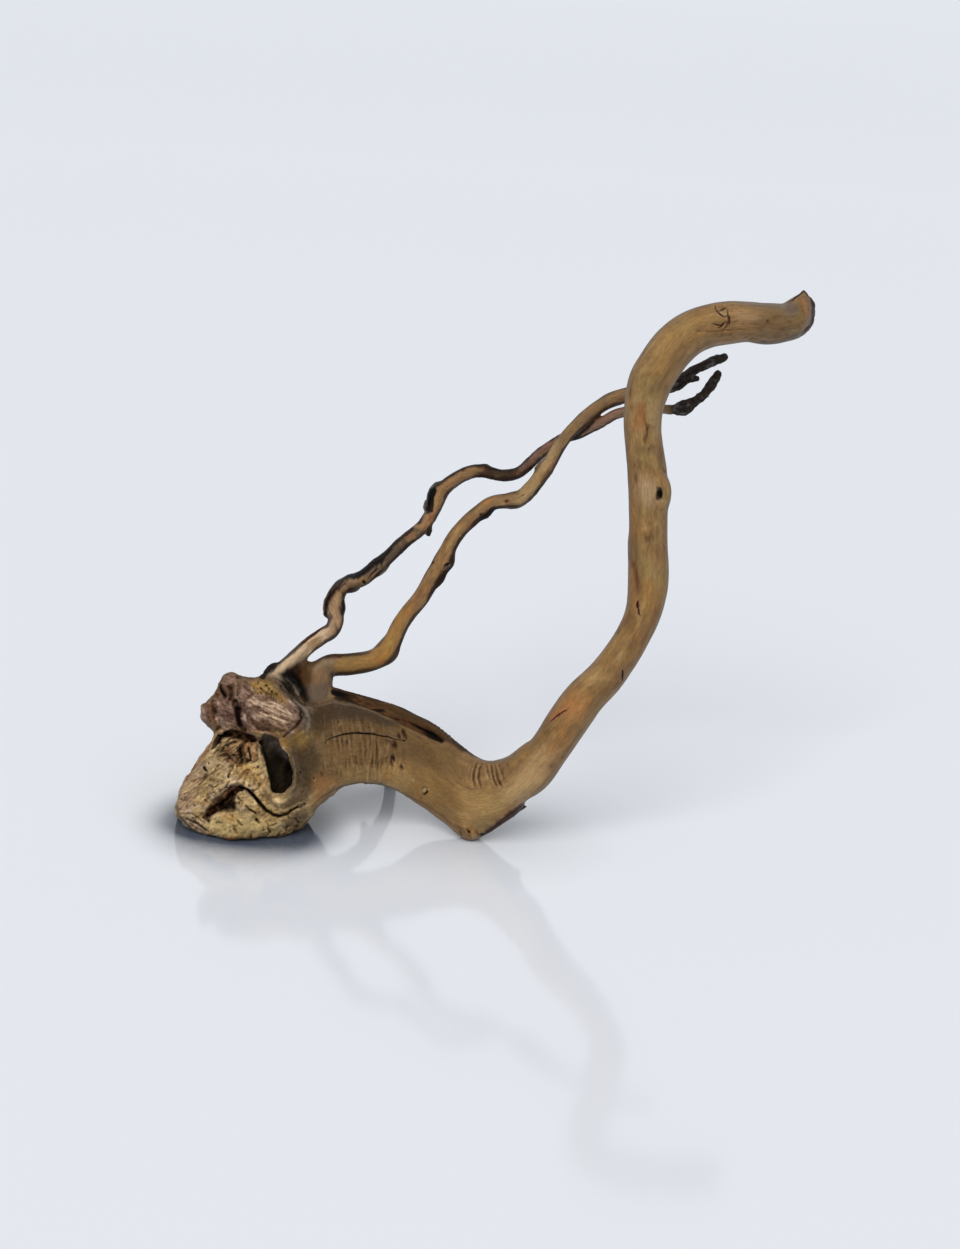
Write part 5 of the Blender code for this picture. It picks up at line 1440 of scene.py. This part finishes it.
    k.tint(boughs((770, 690), (830, 660)), 3.6, srgb(160, 108, 54), 0.6, "front", 0.1)
    k.tint(boughs((680, 780), (640, 850), (620, 920)), 3.6, srgb(118, 80, 54), 0.6, "front", 0.1)
    k.tint(boughs((748, 770), (765, 790)), 1.0, srgb(70, 40, 28), 0.8, "front", 0.3)
    k.tint(boughs((540, 900), (480, 1010), (430, 1110)), 4.0, srgb(158, 124, 78), 0.6, "front", 0.1)
    k.tint(boughs((1100, 620), (1200, 520), (1300, 400), (1380, 260)), 4.2, srgb(152, 122, 82), 0.6, "front", 0.1)
    k.tint(boughs((1310, 470), (1420, 290), (1440, 240)), 2.0, srgb(112, 68, 46), 0.6, "front", 0.1)
    k.tint(boughs((1420, 60), (1475, 30)), 2.0, srgb(176, 146, 118), 0.6, "front", 0.1)
    k.tint(tips((230, 800), (300, 740), (400, 660), (460, 610)), 3.0, srgb(40, 33, 30), 0.9, "back", 0.2)
    k.tint(tips((440, 640), (540, 590), (640, 540)), 3.2, srgb(126, 90, 76), 0.6, "back", 0.2)
    # burl
    k.fill(big((640, 300), (700, 282), (770, 292), (850, 370), (900, 450), (880, 470), (820, 420), (740, 380), (670, 385), (650, 340)), srgb(158, 126, 72), 0.85, 3, "burl")
    k.fill(big((620, 440), (700, 420), (800, 430), (900, 490), (975, 545), (950, 610), (880, 610), (800, 580), (700, 540)), srgb(160, 130, 106), 0.75, 4, "burl")
    c, d = math.cos(math.radians(26)), math.sin(math.radians(26))
    turned = np.stack([(c * k.u + d * k.v) / 10.0, (c * k.v - d * k.u) / 1.5, k.p[:, 1] / 10], 1)
    sliver = fbm(turned, 3, 231)
    crest = k.region(big((600, 420), (700, 400), (830, 430), (930, 500), (985, 560), (940, 610), (850, 600), (740, 560), (640, 510)), 5) * k.weight["burl"]
    k.colour = mix(k.colour, srgb(196, 167, 140), crest * ramp(sliver, 0.04, 0.34) * 0.75)
    k.colour = mix(k.colour, srgb(92, 64, 52), crest * ramp(-sliver, 0.08, 0.34) * 0.75)
    for line in (((648, 440), (760, 486), (900, 548)), ((690, 434), (800, 470), (935, 530)), ((720, 520), (820, 560), (890, 585)), ((770, 440), (860, 470), (960, 545))):
        k.tint(big(*line), 1.2, srgb(214, 188, 160), 0.65, "burl", 0.2, 1.2, 0.7)
    # darker along the upper stub's underside: painted shade
    k.fill(big((640, 560), (740, 590), (880, 620), (940, 620), (900, 680), (800, 660), (700, 640), (640, 620)), srgb(104, 72, 56), 0.75, 4, "burl")
    k.fill(big((450, 240), (560, 250), (640, 300), (640, 420), (560, 520), (450, 560), (420, 400)), srgb(112, 86, 74), 0.6, 4, "burl")
    k.fill(big((480, 250), (540, 250), (560, 290), (510, 320), (470, 300)), srgb(146, 118, 100), 0.6, 2.5, "burl")
    k.fill(big((290, 430), (360, 400), (400, 500), (390, 660), (320, 610)), srgb(96, 78, 66), 0.7, 3, "burl")
    k.tint(big((350, 440), (366, 520), (390, 600), (420, 660)), 3.2, srgb(140, 98, 62), 0.65, "burl", 0.1)
    k.tint(big((330, 440), (340, 540)), 2.4, srgb(120, 84, 62), 0.5, "burl", 0.1)
    k.tint(big((440, 560), (470, 640), (560, 660)), 5.0, srgb(128, 104, 88), 0.5, "burl", 0.1)
    # near black in the deep fold of the upper stub: painted shade
    k.fill(big((540, 460), (575, 480), (590, 600), (560, 625), (528, 540)), srgb(40, 28, 23), 0.92, 2.2, "burl")
    k.fill(big((480, 330), (530, 310), (520, 400), (470, 400)), srgb(66, 48, 40), 0.75, 2.5, "burl")
    # dark in the knob's crease: painted shade
    k.tint(big((430, 335), (446, 372), (462, 400)), 2.6, srgb(34, 24, 19), 0.85, "burl", 0.2)
    k.tint(big((600, 330), (660, 380), (620, 420)), 2.4, srgb(78, 54, 44), 0.7, "burl", 0.1)
    # darker along the upper stub's underside: painted shade
    k.fill(big((700, 570), (840, 590), (960, 600), (900, 680), (800, 640), (720, 620)), srgb(112, 84, 62), 0.7, 4, "burl")
    k.fill(big((700, 560), (780, 570), (790, 610), (720, 600)), srgb(72, 50, 40), 0.6, 2.5, "burl")
    k.fill(big((780, 640), (880, 630), (910, 660), (860, 720), (800, 740), (780, 700)), srgb(142, 112, 76), 0.65, 3, "burl")
    k.fill(big((850, 250), (960, 320), (1060, 450), (1090, 560), (1060, 700), (1010, 640), (1000, 540), (920, 400), (850, 320)), srgb(84, 76, 69), 0.9, 3, "burl main")
    k.tint(big((872, 284), (940, 330), (1000, 410), (1044, 500), (1062, 590), (1040, 690)), 2.2, srgb(126, 112, 94), 0.7, "burl main", 0.1)
    c, d = math.cos(math.radians(52)), math.sin(math.radians(52))
    turned = np.stack([(c * k.u + d * k.v) / 13.0, (c * k.v - d * k.u) / 2.2, k.p[:, 1] / 10], 1)
    sliver = fbm(turned, 3, 234)
    collar = k.region(big((850, 250), (960, 320), (1060, 450), (1090, 560), (1060, 700), (1010, 640), (1000, 540), (920, 400), (850, 320)), 5) * np.clip(k.weight["burl"] + k.weight["main"], 0, 1)
    k.colour = mix(k.colour, srgb(124, 112, 96), collar * ramp(sliver, 0.1, 0.4) * 0.35)
    k.colour = mix(k.colour, srgb(46, 39, 34), collar * ramp(-sliver, 0.1, 0.4) * 0.5)
    k.fill(big((880, 700), (960, 650), (1060, 640), (1070, 740), (1000, 800), (930, 790), (890, 740)), srgb(114, 90, 55), 0.8, 5, "burl main")
    for x, y in ((930, 720), (970, 690), (1010, 660), (990, 740), (1040, 700)):
        k.tint(big((x - 14, y + 12), (x + 14, y - 12)), 2.4, srgb(146, 116, 68), 0.35, "burl main", 0.1)
    # dark in the gap between the upper and lower stubs: painted shade
    k.fill(big((380, 740), (430, 660), (520, 640), (640, 660), (720, 720), (640, 722), (520, 706), (430, 740)), srgb(48, 35, 29), 0.9, 2.5, "burl")
    k.fill(SPLINTERS, srgb(100, 70, 50), 0.75, 3, "burl")
    c, d = math.cos(math.radians(-52)), math.sin(math.radians(-52))
    turned = np.stack([(c * k.u + d * k.v) / 8.0, (c * k.v - d * k.u) / 1.5, k.p[:, 1] / 8], 1)
    sliver, zone = fbm(turned, 3, 232), k.region(SPLINTERS, 2.5) * k.weight["burl"]
    k.colour = mix(k.colour, srgb(152, 114, 82), zone * ramp(sliver, 0.1, 0.35) * 0.75)
    k.colour = mix(k.colour, srgb(34, 23, 17), zone * ramp(-sliver, 0.12, 0.3) * 0.85)
    k.fill(big((604, 738), (684, 726), (690, 852), (660, 866), (630, 840), (606, 800)), srgb(158, 118, 80), 0.8, 1.2, "burl")
    # dark on the right side of the chunk by the hollow: painted shade
    k.fill(big((688, 700), (740, 690), (752, 770), (770, 860), (742, 862), (708, 790)), srgb(42, 33, 28), 0.88, 1.6, "burl")
    k.tint(big((632, 770), (650, 858)), 1.3, srgb(30, 20, 15), 0.95, "burl")
    k.tint(big((575, 780), (585, 870)), 2.2, srgb(30, 20, 15), 0.95, "burl")
    for x0, y0, x1, y1 in ((452, 774, 492, 752), (480, 735, 530, 700), (430, 800, 500, 790), (500, 840, 560, 820), (470, 820, 520, 850), (540, 760, 560, 800)):
        k.tint(big((x0, y0), ((x0 + x1) / 2, (y0 + y1) / 2 - 8), (x1, y1)), 1.5, srgb(30, 19, 14), 0.9, "burl", 0.2)
    for x0, y0, x1, y1 in ((500, 720, 580, 716), (510, 760, 560, 740), (600, 830, 650, 850), (480, 800, 540, 812), (446, 730, 470, 706)):
        k.tint(big((x0, y0), ((x0 + x1) / 2, (y0 + y1) / 2 - 6), (x1, y1)), 1.4, srgb(172, 134, 98), 0.7, "burl", 0.2)
    k.fill(big((700, 690), (790, 700), (850, 720), (870, 800), (840, 870), (790, 820), (740, 780)), srgb(92, 80, 70), 0.75, 3, "burl")
    k.fill(big((735, 1050), (780, 1120), (860, 1170), (960, 1120), (1010, 1000), (1060, 1040), (1040, 1180), (900, 1240), (800, 1200), (740, 1130)), srgb(102, 84, 64), 0.8, 4, "burl main")
    k.tint(big((752, 990), (785, 1080), (850, 1112), (920, 1096), (958, 1030), (965, 940), (940, 830)), 1.8, srgb(134, 116, 94), 0.6, "burl main", 0.1)
    k.tint(big((770, 1150), (830, 1216), (900, 1216), (960, 1180)), 2.0, srgb(170, 142, 98), 0.7, "burl main", 0.1)
    k.fill(big((930, 700), (1010, 780), (1060, 900), (1060, 1040), (980, 1060), (970, 900)), srgb(74, 63, 53), 0.8, 6, "burl main")
    k.fill(big((120, 1180), (150, 1050), (240, 930), (320, 900), (340, 980), (280, 1100), (220, 1200), (150, 1230)), srgb(154, 128, 104), 0.75, 5, "burl")
    k.fill(big((330, 830), (420, 780), (480, 900), (430, 1000), (350, 960)), srgb(158, 134, 94), 0.65, 5, "burl")
    k.fill(big((320, 940), (440, 1000), (420, 1080), (300, 1130), (260, 1060)), srgb(142, 118, 78), 0.7, 5, "burl")
    k.tint(big((395, 705), (330, 790), (250, 900), (180, 1000)), 2.4, srgb(146, 98, 56), 0.7, "burl", 0.1)
    k.tint(big((420, 670), (400, 720), (370, 760)), 2.0, srgb(176, 146, 104), 0.7, "burl", 0.1)
    k.fill(big((560, 910), (700, 880), (760, 930), (750, 1040), (680, 1030), (580, 980)), srgb(186, 150, 92), 0.7, 5, "burl")
    k.fill(big((560, 900), (640, 880), (690, 920), (600, 960)), srgb(178, 136, 76), 0.5, 4, "burl")
    k.fill(big((700, 860), (755, 900), (764, 960), (735, 1010), (715, 940)), srgb(166, 146, 116), 0.6, 2, "burl")
    for turn, seed, outline in ((-62, 241, big((500, 880), (640, 870), (760, 900), (762, 1040), (700, 1090), (640, 1050), (520, 1010))),
                                (-40, 242, LOWER_FACE), (-12, 243, big((180, 1270), (420, 1240), (640, 1240), (900, 1300), (880, 1390), (500, 1420), (260, 1390)))):
        c, d = math.cos(math.radians(turn)), math.sin(math.radians(turn))
        turned = np.stack([(c * k.u + d * k.v) / 7.5, (c * k.v - d * k.u) / 1.35, k.p[:, 1] / 8], 1)
        sliver = fbm(turned, 3, seed) + 0.5 * fbm(k.p / 8.0, 2, seed + 5)
        zone = k.region(outline, 4) * k.weight["burl"]
        k.colour = mix(k.colour, srgb(208, 178, 130), zone * ramp(sliver, 0.12, 0.42) * 0.5)
        k.colour = mix(k.colour, srgb(92, 66, 42), zone * ramp(-sliver, 0.14, 0.44) * 0.55)
    k.fill(CAVITY, srgb(74, 49, 34), 0.85, 1.6, "burl")
    k.fill(big((400, 1140), (465, 1092), (540, 1064), (575, 1040), (590, 1060), (540, 1090), (480, 1130), (430, 1170)), srgb(74, 48, 36), 0.8, 1.5, "burl")
    # black deep in the cavity: painted shade
    k.fill(big((380, 1190), (440, 1150), (520, 1140), (545, 1200), (470, 1222), (400, 1214)), srgb(20, 16, 13), 0.9, 2, "burl")
    k.tint(big((310, 1260), (350, 1250), (380, 1210)), 2.6, srgb(52, 34, 24), 0.85, "burl", 0.2)
    for x0, y0, x1, y1 in ((370, 1170, 420, 1180), (390, 1200, 440, 1180), (520, 1080, 560, 1050), (352, 1200, 372, 1170)):
        k.tint(big((x0, y0), (x1, y1)), 1.6, srgb(134, 96, 64), 0.7, "burl", 0.2)
    k.tint(FISSURE, 1.9, BLACK, 0.97, "burl main", 0.5)
    k.tint(big((498, 1052), (540, 1050)), 2.6, srgb(98, 70, 62), 0.9, "burl", 0.2)
    k.tint(big((480, 1080), (452, 1108)), 1.6, srgb(124, 86, 62), 0.8, "burl", 0.2)
    k.tint([(x + 1.4, y - 2.6) for x, y in FISSURE[2:]], 1.6, srgb(172, 142, 92), 0.7, "burl main", 0.2)
    k.tint(big((985, 1196), (1030, 1168)), 1.3, BLACK, 0.9, "burl main", 0.4)
    k.tint(big((608, 1178), (640, 1208), (684, 1232)), 1.2, BLACK, 0.95, "burl", 0.4)
    k.fill(big((548, 1100), (600, 1086), (660, 1150), (690, 1210), (640, 1200), (560, 1190)), srgb(182, 152, 102), 0.75, 2, "burl")
    k.fill(big((690, 1170), (760, 1230), (850, 1275), (960, 1230), (1000, 1210), (960, 1270), (840, 1310), (740, 1280)), srgb(150, 126, 86), 0.7, 3, "burl main")
    k.fill(big((330, 1300), (420, 1230), (560, 1220), (680, 1260), (860, 1300), (860, 1370), (700, 1400), (480, 1390), (360, 1360)), srgb(178, 154, 106), 0.75, 4, "burl")
    k.fill(big((430, 1240), (520, 1230), (560, 1280), (480, 1300)), srgb(168, 120, 66), 0.5, 4, "burl")
    k.fill(big((600, 1230), (680, 1250), (660, 1320), (590, 1300)), srgb(168, 148, 108), 0.6, 3, "burl")
    k.fill(big((810, 1310), (870, 1300), (880, 1350), (830, 1370)), srgb(180, 156, 116), 0.7, 2.5, "burl")
    k.fill(big((940, 1200), (1030, 1170), (1064, 1240), (1030, 1310), (960, 1310), (900, 1350), (880, 1290)), srgb(106, 88, 66), 0.8, 3, "burl main")
    k.tint(big((960, 1220), (1000, 1200), (1020, 1180)), 2.6, srgb(168, 142, 106), 0.6, "burl main", 0.1)
    k.fill(big((230, 1200), (320, 1190), (330, 1260), (300, 1300), (230, 1260)), srgb(160, 134, 84), 0.6, 3, "burl")
    k.tint(big((185, 1272), (240, 1292), (300, 1330), (345, 1366)), 1.7, srgb(60, 40, 27), 0.75, "burl", 0.2)
    k.tint(big((120, 1190), (130, 1240), (170, 1290), (220, 1340), (280, 1400)), 2.4, srgb(86, 70, 56), 0.7, "burl", 0.1)
    # darker along the burl's bottom edge: painted shade under it
    k.tint(big((280, 1405), (400, 1420), (520, 1424), (640, 1425), (800, 1410), (900, 1380)), 3.0, srgb(84, 62, 42), 0.8, "burl", 0.1)
    k.tint(big((280, 1390), (330, 1400)), 3.0, srgb(150, 100, 56), 0.6, "burl", 0.1)
    k.tint(big((440, 1410), (520, 1425)), 2.6, srgb(146, 88, 50), 0.6, "burl", 0.1)
    for x, y, r in ((318, 912, 2.4), (330, 932, 1.4), (492, 955, 1.7), (488, 975, 1.2), (760, 322, 1.9), (472, 1050, 1.6), (352, 1290, 1.8), (905, 1330, 1.4), (640, 690, 2.0),
                    (690, 1275, 2.2), (700, 300, 1.2), (720, 340, 1.4), (800, 370, 1.3), (830, 385, 1.2), (780, 350, 1.1), (560, 1130, 1.4), (560, 1160, 1.2), (700, 905, 1.6),
                    (345, 880, 1.2), (250, 1180, 1.1), (236, 1270, 1.4), (640, 1040, 1.3), (1000, 940, 1.2), (1098, 990, 1.2)):
        k.tint(big((x - 3, y - 6), (x + 3, y + 6)), r, srgb(34, 23, 17), 0.9, "burl main", 0.2)
    k.colour = mix(k.colour, k.colour * np.array([0.26, 0.20, 0.16]), np.clip(k.cracks, 0, 1) * 0.85)


def material():
    mat = bpy.data.materials.new("root_wood")
    mat.use_nodes = True
    nodes, links = mat.node_tree.nodes, mat.node_tree.links
    shader = nodes["Principled BSDF"]

    def node(kind, **values):
        n = nodes.new(kind)
        for name, value in values.items():
            setattr(n, name, value)
        return n

    def noise_at(vector, scale, size=4.0, detail=6.0, rough=0.6):
        mapping = node("ShaderNodeMapping")
        mapping.inputs["Scale"].default_value = scale
        links.new(vector, mapping.inputs["Vector"])
        tex = node("ShaderNodeTexNoise", noise_dimensions="3D")
        tex.inputs["Scale"].default_value = size
        tex.inputs["Detail"].default_value = detail
        tex.inputs["Roughness"].default_value = rough
        links.new(mapping.outputs["Vector"], tex.inputs["Vector"])
        return tex.outputs["Fac"]

    def remap(value, a, b, c, d, smooth=True):
        n = node("ShaderNodeMapRange", interpolation_type="SMOOTHSTEP" if smooth else "LINEAR")
        for name, number in (("From Min", a), ("From Max", b), ("To Min", c), ("To Max", d)):
            n.inputs[name].default_value = number
        links.new(value, n.inputs["Value"])
        return n.outputs["Result"]

    def calc(op, a, b):
        n = node("ShaderNodeMath", operation=op)
        for slot, value in zip(n.inputs, (a, b)):
            if isinstance(value, (int, float)):
                slot.default_value = value
            else:
                links.new(value, slot)
        return n.outputs[0]

    def blend(kind, factor, a, b):
        n = node("ShaderNodeMix", data_type="RGBA", blend_type=kind)
        for slot, value in ((n.inputs[0], factor), (n.inputs[6], a), (n.inputs[7], b)):
            if isinstance(value, (int, float)):
                slot.default_value = value
            elif isinstance(value, tuple):
                slot.default_value = value
            else:
                links.new(value, slot)
        return n.outputs[2]

    tint = node("ShaderNodeAttribute", attribute_name="tint").outputs["Color"]
    flow = node("ShaderNodeAttribute", attribute_name="flow").outputs["Vector"]
    torn = node("ShaderNodeAttribute", attribute_name="torn").outputs["Fac"]
    place = node("ShaderNodeTexCoord").outputs["Object"]

    fibre = noise_at(flow, (0.22, 2.2, 2.2), 4.0, 5.0, 0.62)
    hair = noise_at(flow, (0.5, 7.0, 7.0), 4.0, 4.0, 0.6)
    crumb = noise_at(place, (1000, 1000, 1000), 0.45, 6.0, 0.68)
    grit = noise_at(place, (1000, 1000, 1000), 1.6, 4.0, 0.6)
    fibrous = calc("ADD", calc("MULTIPLY", fibre, 0.6), calc("MULTIPLY", hair, 0.4))
    mottle = noise_at(flow, (0.9, 2.6, 2.6), 3.2, 5.0, 0.65)
    smooth_tone = calc("MULTIPLY", remap(fibrous, 0.36, 0.64, 0.84, 1.16), remap(mottle, 0.34, 0.66, 0.86, 1.14))
    torn_tone = remap(calc("ADD", calc("MULTIPLY", crumb, 0.6), calc("MULTIPLY", grit, 0.4)), 0.36, 0.64, 0.64, 1.32)
    tone = blend("MIX", torn, smooth_tone, torn_tone)
    base = blend("MULTIPLY", 1.0, tint, tone)
    split = node("ShaderNodeTexNoise", noise_dimensions="3D", noise_type="RIDGED_MULTIFRACTAL")
    split.inputs["Scale"].default_value = 190
    split.inputs["Detail"].default_value = 3.0
    split.inputs["Roughness"].default_value = 0.5
    links.new(place, split.inputs["Vector"])
    seams = calc("MULTIPLY", remap(split.outputs["Fac"], 0.62, 0.86, 0.0, 0.6), torn)
    base = blend("MIX", seams, base, blend("MULTIPLY", 1.0, base, (0.28, 0.22, 0.18, 1)))
    pores = remap(noise_at(flow, (1.6, 3.0, 3.0), 5.0, 2.0, 0.5), 0.72, 0.78, 0.0, 0.55)
    base = blend("MIX", pores, base, (0.07, 0.045, 0.028, 1))
    links.new(base, shader.inputs["Base Color"])

    gloss = remap(calc("ADD", calc("MULTIPLY", fibrous, 0.5), calc("MULTIPLY", torn, 0.5)), 0.2, 0.75, 0.50, 0.86)
    links.new(gloss, shader.inputs["Roughness"])
    links.new(remap(tint, 0.0, 0.10, 0.08, 0.54), shader.inputs["Specular IOR Level"])

    height = blend("MIX", torn, fibrous, calc("ADD", calc("MULTIPLY", crumb, 1.6), calc("MULTIPLY", grit, 0.5)))
    height = calc("SUBTRACT", height, calc("MULTIPLY", pores, 0.5))
    bump = node("ShaderNodeBump")
    bump.inputs["Strength"].default_value = 0.55
    bump.inputs["Distance"].default_value = 0.0009
    links.new(height, bump.inputs["Height"])
    links.new(bump.outputs["Normal"], shader.inputs["Normal"])
    return mat


def press(skin, sheet, amount=None):
    """Moves what the eye sees in or out along the sight lines by a drawn relief."""
    u, v = skin.u, skin.v
    inside = (u > sheet.u0 + 1) & (u < sheet.u[-1, 0] - 1) & (v > sheet.v0 + 1) & (v < sheet.v[0, -1] - 1)
    d = sheet.read(u, v) * inside * ramp(skin.facing, 0.0, 0.45) * (1 if amount is None else amount)
    skin.p = skin.p - skin.ray * d[:, None]
    skin.look()


def main():
    field, limbs, dark = grow()
    untangle(field)
    points, quads = outer(*nets(field))
    del field
    points = relax(points, quads, 2)
    skin = Skin(points, quads, limbs)
    skin.dark = {}
    for limb, kind in dark:
        inside = ramp(skin.follow(limb)[3], 1.3, 0.1)
        skin.dark[kind] = np.maximum(skin.dark.get(kind, 0), inside)
    wood = skin.weight["main"] + skin.weight["burl"]
    split = ramp(skin.p[:, 0], 50, 62)
    hole = ramp(np.max([skin.dark[kind] for kind in ("hollow", "trough", "shade")], axis=0), 0.7, 0.2)
    relief, torn, crack = burl_relief()
    press(skin, relief, wood * (1 - split) * hole)
    press(skin, arch_relief(), wood * split * hole)
    skin.p = relax(skin.p, quads, 1) * 0.6 + skin.p * 0.4
    deep = 0.85 * np.clip(skin.dark["hollow"], 0, 1)[:, None]
    skin.p = skin.p * (1 - deep) + relax(skin.p, quads, 6) * deep
    skin.look()
    skin.cracks = crack.read(skin.u, skin.v) * ramp(skin.facing, -0.1, 0.2) * skin.weight["burl"]
    carve(skin)
    skin.h *= ramp(skin.p[:, 2], 0.3, 3.0)
    skin.p = skin.p + skin.n * skin.h[:, None]
    skin.p[:, 2] = np.maximum(skin.p[:, 2], 0)
    skin.look()
    paint(skin)
    print("nets", len(points), len(quads))

    mesh = bpy.data.meshes.new("dry_root_wood")
    mesh.from_pydata((skin.p / 1000).tolist(), [], quads.tolist())
    mesh.update()
    tint = mesh.attributes.new("tint", "FLOAT_COLOR", "POINT")
    tint.data.foreach_set("color", np.hstack([np.clip(skin.colour, 0, 1), np.ones((len(points), 1))]).astype(np.float32).ravel())
    flow = mesh.attributes.new("flow", "FLOAT_VECTOR", "POINT")
    flow.data.foreach_set("vector", (skin.flow / 10).astype(np.float32).ravel())
    torn = mesh.attributes.new("torn", "FLOAT", "POINT")
    torn.data.foreach_set("value", skin.torn.astype(np.float32))
    root = bpy.data.objects.new("dry_root_wood", mesh)
    bpy.context.scene.collection.objects.link(root)
    thin = root.modifiers.new("thin out", "DECIMATE")
    thin.ratio = MOST_TRIANGLES / (2 * len(quads))
    # the front of the burl and the arch, the hollow and the hook's end keep all their points
    torn_part = ramp(skin.facing, -0.05, 0.1) * np.clip(skin.weight["burl"] + ramp(skin.u, 470, 440) * skin.weight["main"] * (skin.v > 670), 0, 1) > 0.5
    torn_part |= skin.dark["hollow"] > 0.2
    torn_part |= (skin.facing > 0) & (((np.abs(skin.u - 733) < 14) & (skin.v < 338)) | (skin.u > 792))
    group = root.vertex_groups.new(name="thin out")
    group.add([int(i) for i in np.nonzero(~torn_part)[0]], 1.0, "REPLACE")
    thin.vertex_group = "thin out"
    print("kept", int(torn_part.sum()))
    done = bpy.data.meshes.new_from_object(root.evaluated_get(bpy.context.evaluated_depsgraph_get()))
    root.modifiers.clear()
    root.data = done
    done.name = "dry_root_wood"
    done.shade_smooth()
    print("triangles", sum(len(f.vertices) - 2 for f in done.polygons), [a.name for a in done.attributes])
    done.materials.clear()
    done.materials.append(material())
    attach(root, "root")
    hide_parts("dry_root")
    return root


def studio():
    scene = bpy.context.scene
    mesh = bpy.data.meshes.new("floor")
    mesh.from_pydata([(-60, -60, 0), (60, -60, 0), (60, 60, 0), (-60, 60, 0)], [], [(0, 1, 2, 3)])
    floor = bpy.data.objects.new("floor", mesh)
    scene.collection.objects.link(floor)
    mat = bpy.data.materials.new("floor")
    mat.use_nodes = True
    nodes, links = mat.node_tree.nodes, mat.node_tree.links
    shader = nodes["Principled BSDF"]
    # painted contact shadow: darker by ambient occlusion right under and beside what stands on it, most of all round
    # the burl's foot
    near = nodes.new("ShaderNodeAmbientOcclusion")
    near.samples = 12
    near.inputs["Distance"].default_value = 0.07
    shade = nodes.new("ShaderNodeMapRange")
    shade.inputs["From Min"].default_value = 1.0
    shade.inputs["From Max"].default_value = 0.70
    links.new(near.outputs["AO"], shade.inputs["Value"])
    place = nodes.new("ShaderNodeNewGeometry")
    away = nodes.new("ShaderNodeVectorMath")
    away.operation = "DISTANCE"
    away.inputs[1].default_value = (-0.004, 0.0, 0)
    links.new(place.outputs["Position"], away.inputs[0])
    # painted shadow: the occlusion shade at full strength within 52 mm of the burl's foot, about a sixth of it beyond
    # 85 mm
    foot_shadow_reach = nodes.new("ShaderNodeMapRange")
    foot_shadow_reach.interpolation_type = "SMOOTHSTEP"
    foot_shadow_reach.inputs["From Min"].default_value = 0.052
    foot_shadow_reach.inputs["From Max"].default_value = 0.085
    foot_shadow_reach.inputs["To Min"].default_value = 1.0
    foot_shadow_reach.inputs["To Max"].default_value = 0.16
    links.new(away.outputs["Value"], foot_shadow_reach.inputs["Value"])
    both = nodes.new("ShaderNodeMath")
    both.operation = "MULTIPLY"
    both.use_clamp = True
    links.new(shade.outputs["Result"], both.inputs[0])
    links.new(foot_shadow_reach.outputs["Result"], both.inputs[1])
    pale = nodes.new("ShaderNodeMix")
    pale.data_type = "RGBA"
    pale.inputs[6].default_value = (0.84, 0.87, 0.925, 1)
    pale.inputs[7].default_value = (0.08, 0.10, 0.14, 1)
    links.new(both.outputs[0], pale.inputs[0])
    links.new(pale.outputs[2], shader.inputs["Base Color"])
    shader.inputs["Roughness"].default_value = 0.11
    shader.inputs["IOR"].default_value = 1.95
    shader.inputs["Specular Tint"].default_value = (1.0, 0.92, 0.80, 1)
    mesh.materials.append(mat)

    world = bpy.data.worlds.new("studio")
    scene.world = world
    world.use_nodes = True
    nodes, links = world.node_tree.nodes, world.node_tree.links
    back = nodes["Background"]
    back.inputs["Color"].default_value = (0.90, 0.94, 1.0, 1)
    path = nodes.new("ShaderNodeLightPath")
    dim = nodes.new("ShaderNodeMapRange")
    dim.inputs["To Min"].default_value = 0.80
    dim.inputs["To Max"].default_value = 0.40
    links.new(path.outputs["Is Diffuse Ray"], dim.inputs["Value"])
    links.new(dim.outputs["Result"], back.inputs["Strength"])

    def sun(name, way, angle, power, colour):
        light = bpy.data.lights.new(name, "SUN")
        light.angle, light.energy, light.color = math.radians(angle), power, colour
        obj = bpy.data.objects.new(name, light)
        obj.rotation_euler = Vector(way).to_track_quat("-Z", "Y").to_euler()
        obj.visible_glossy = False
        scene.collection.objects.link(obj)

    sun("key", (0.26, 0.86, -1.0), 46, 2.15, (1.0, 0.98, 0.95))
    sun("fill", (-0.8, 0.4, -0.9), 60, 0.35, (0.92, 0.96, 1.0))

    data = bpy.data.cameras.new("camera")
    camera = bpy.data.objects.new("camera", data)
    scene.collection.objects.link(camera)
    data.sensor_fit, data.sensor_height, data.lens = "VERTICAL", 36.0, PLANE / 1249 * 36.0
    data.clip_start, data.clip_end = 0.05, 200
    right = Vector(RIGHT) * math.cos(LEAN) - Vector(DOWN) * math.sin(LEAN)
    down = Vector(RIGHT) * math.sin(LEAN) + Vector(DOWN) * math.cos(LEAN)
    turn = Matrix((right, -down, -Vector(AHEAD))).transposed().to_4x4()
    turn.translation = Vector(EYE / 1000)
    camera.matrix_world = turn
    scene.camera = camera
    scene.view_settings.view_transform = "Standard"


main()
studio()
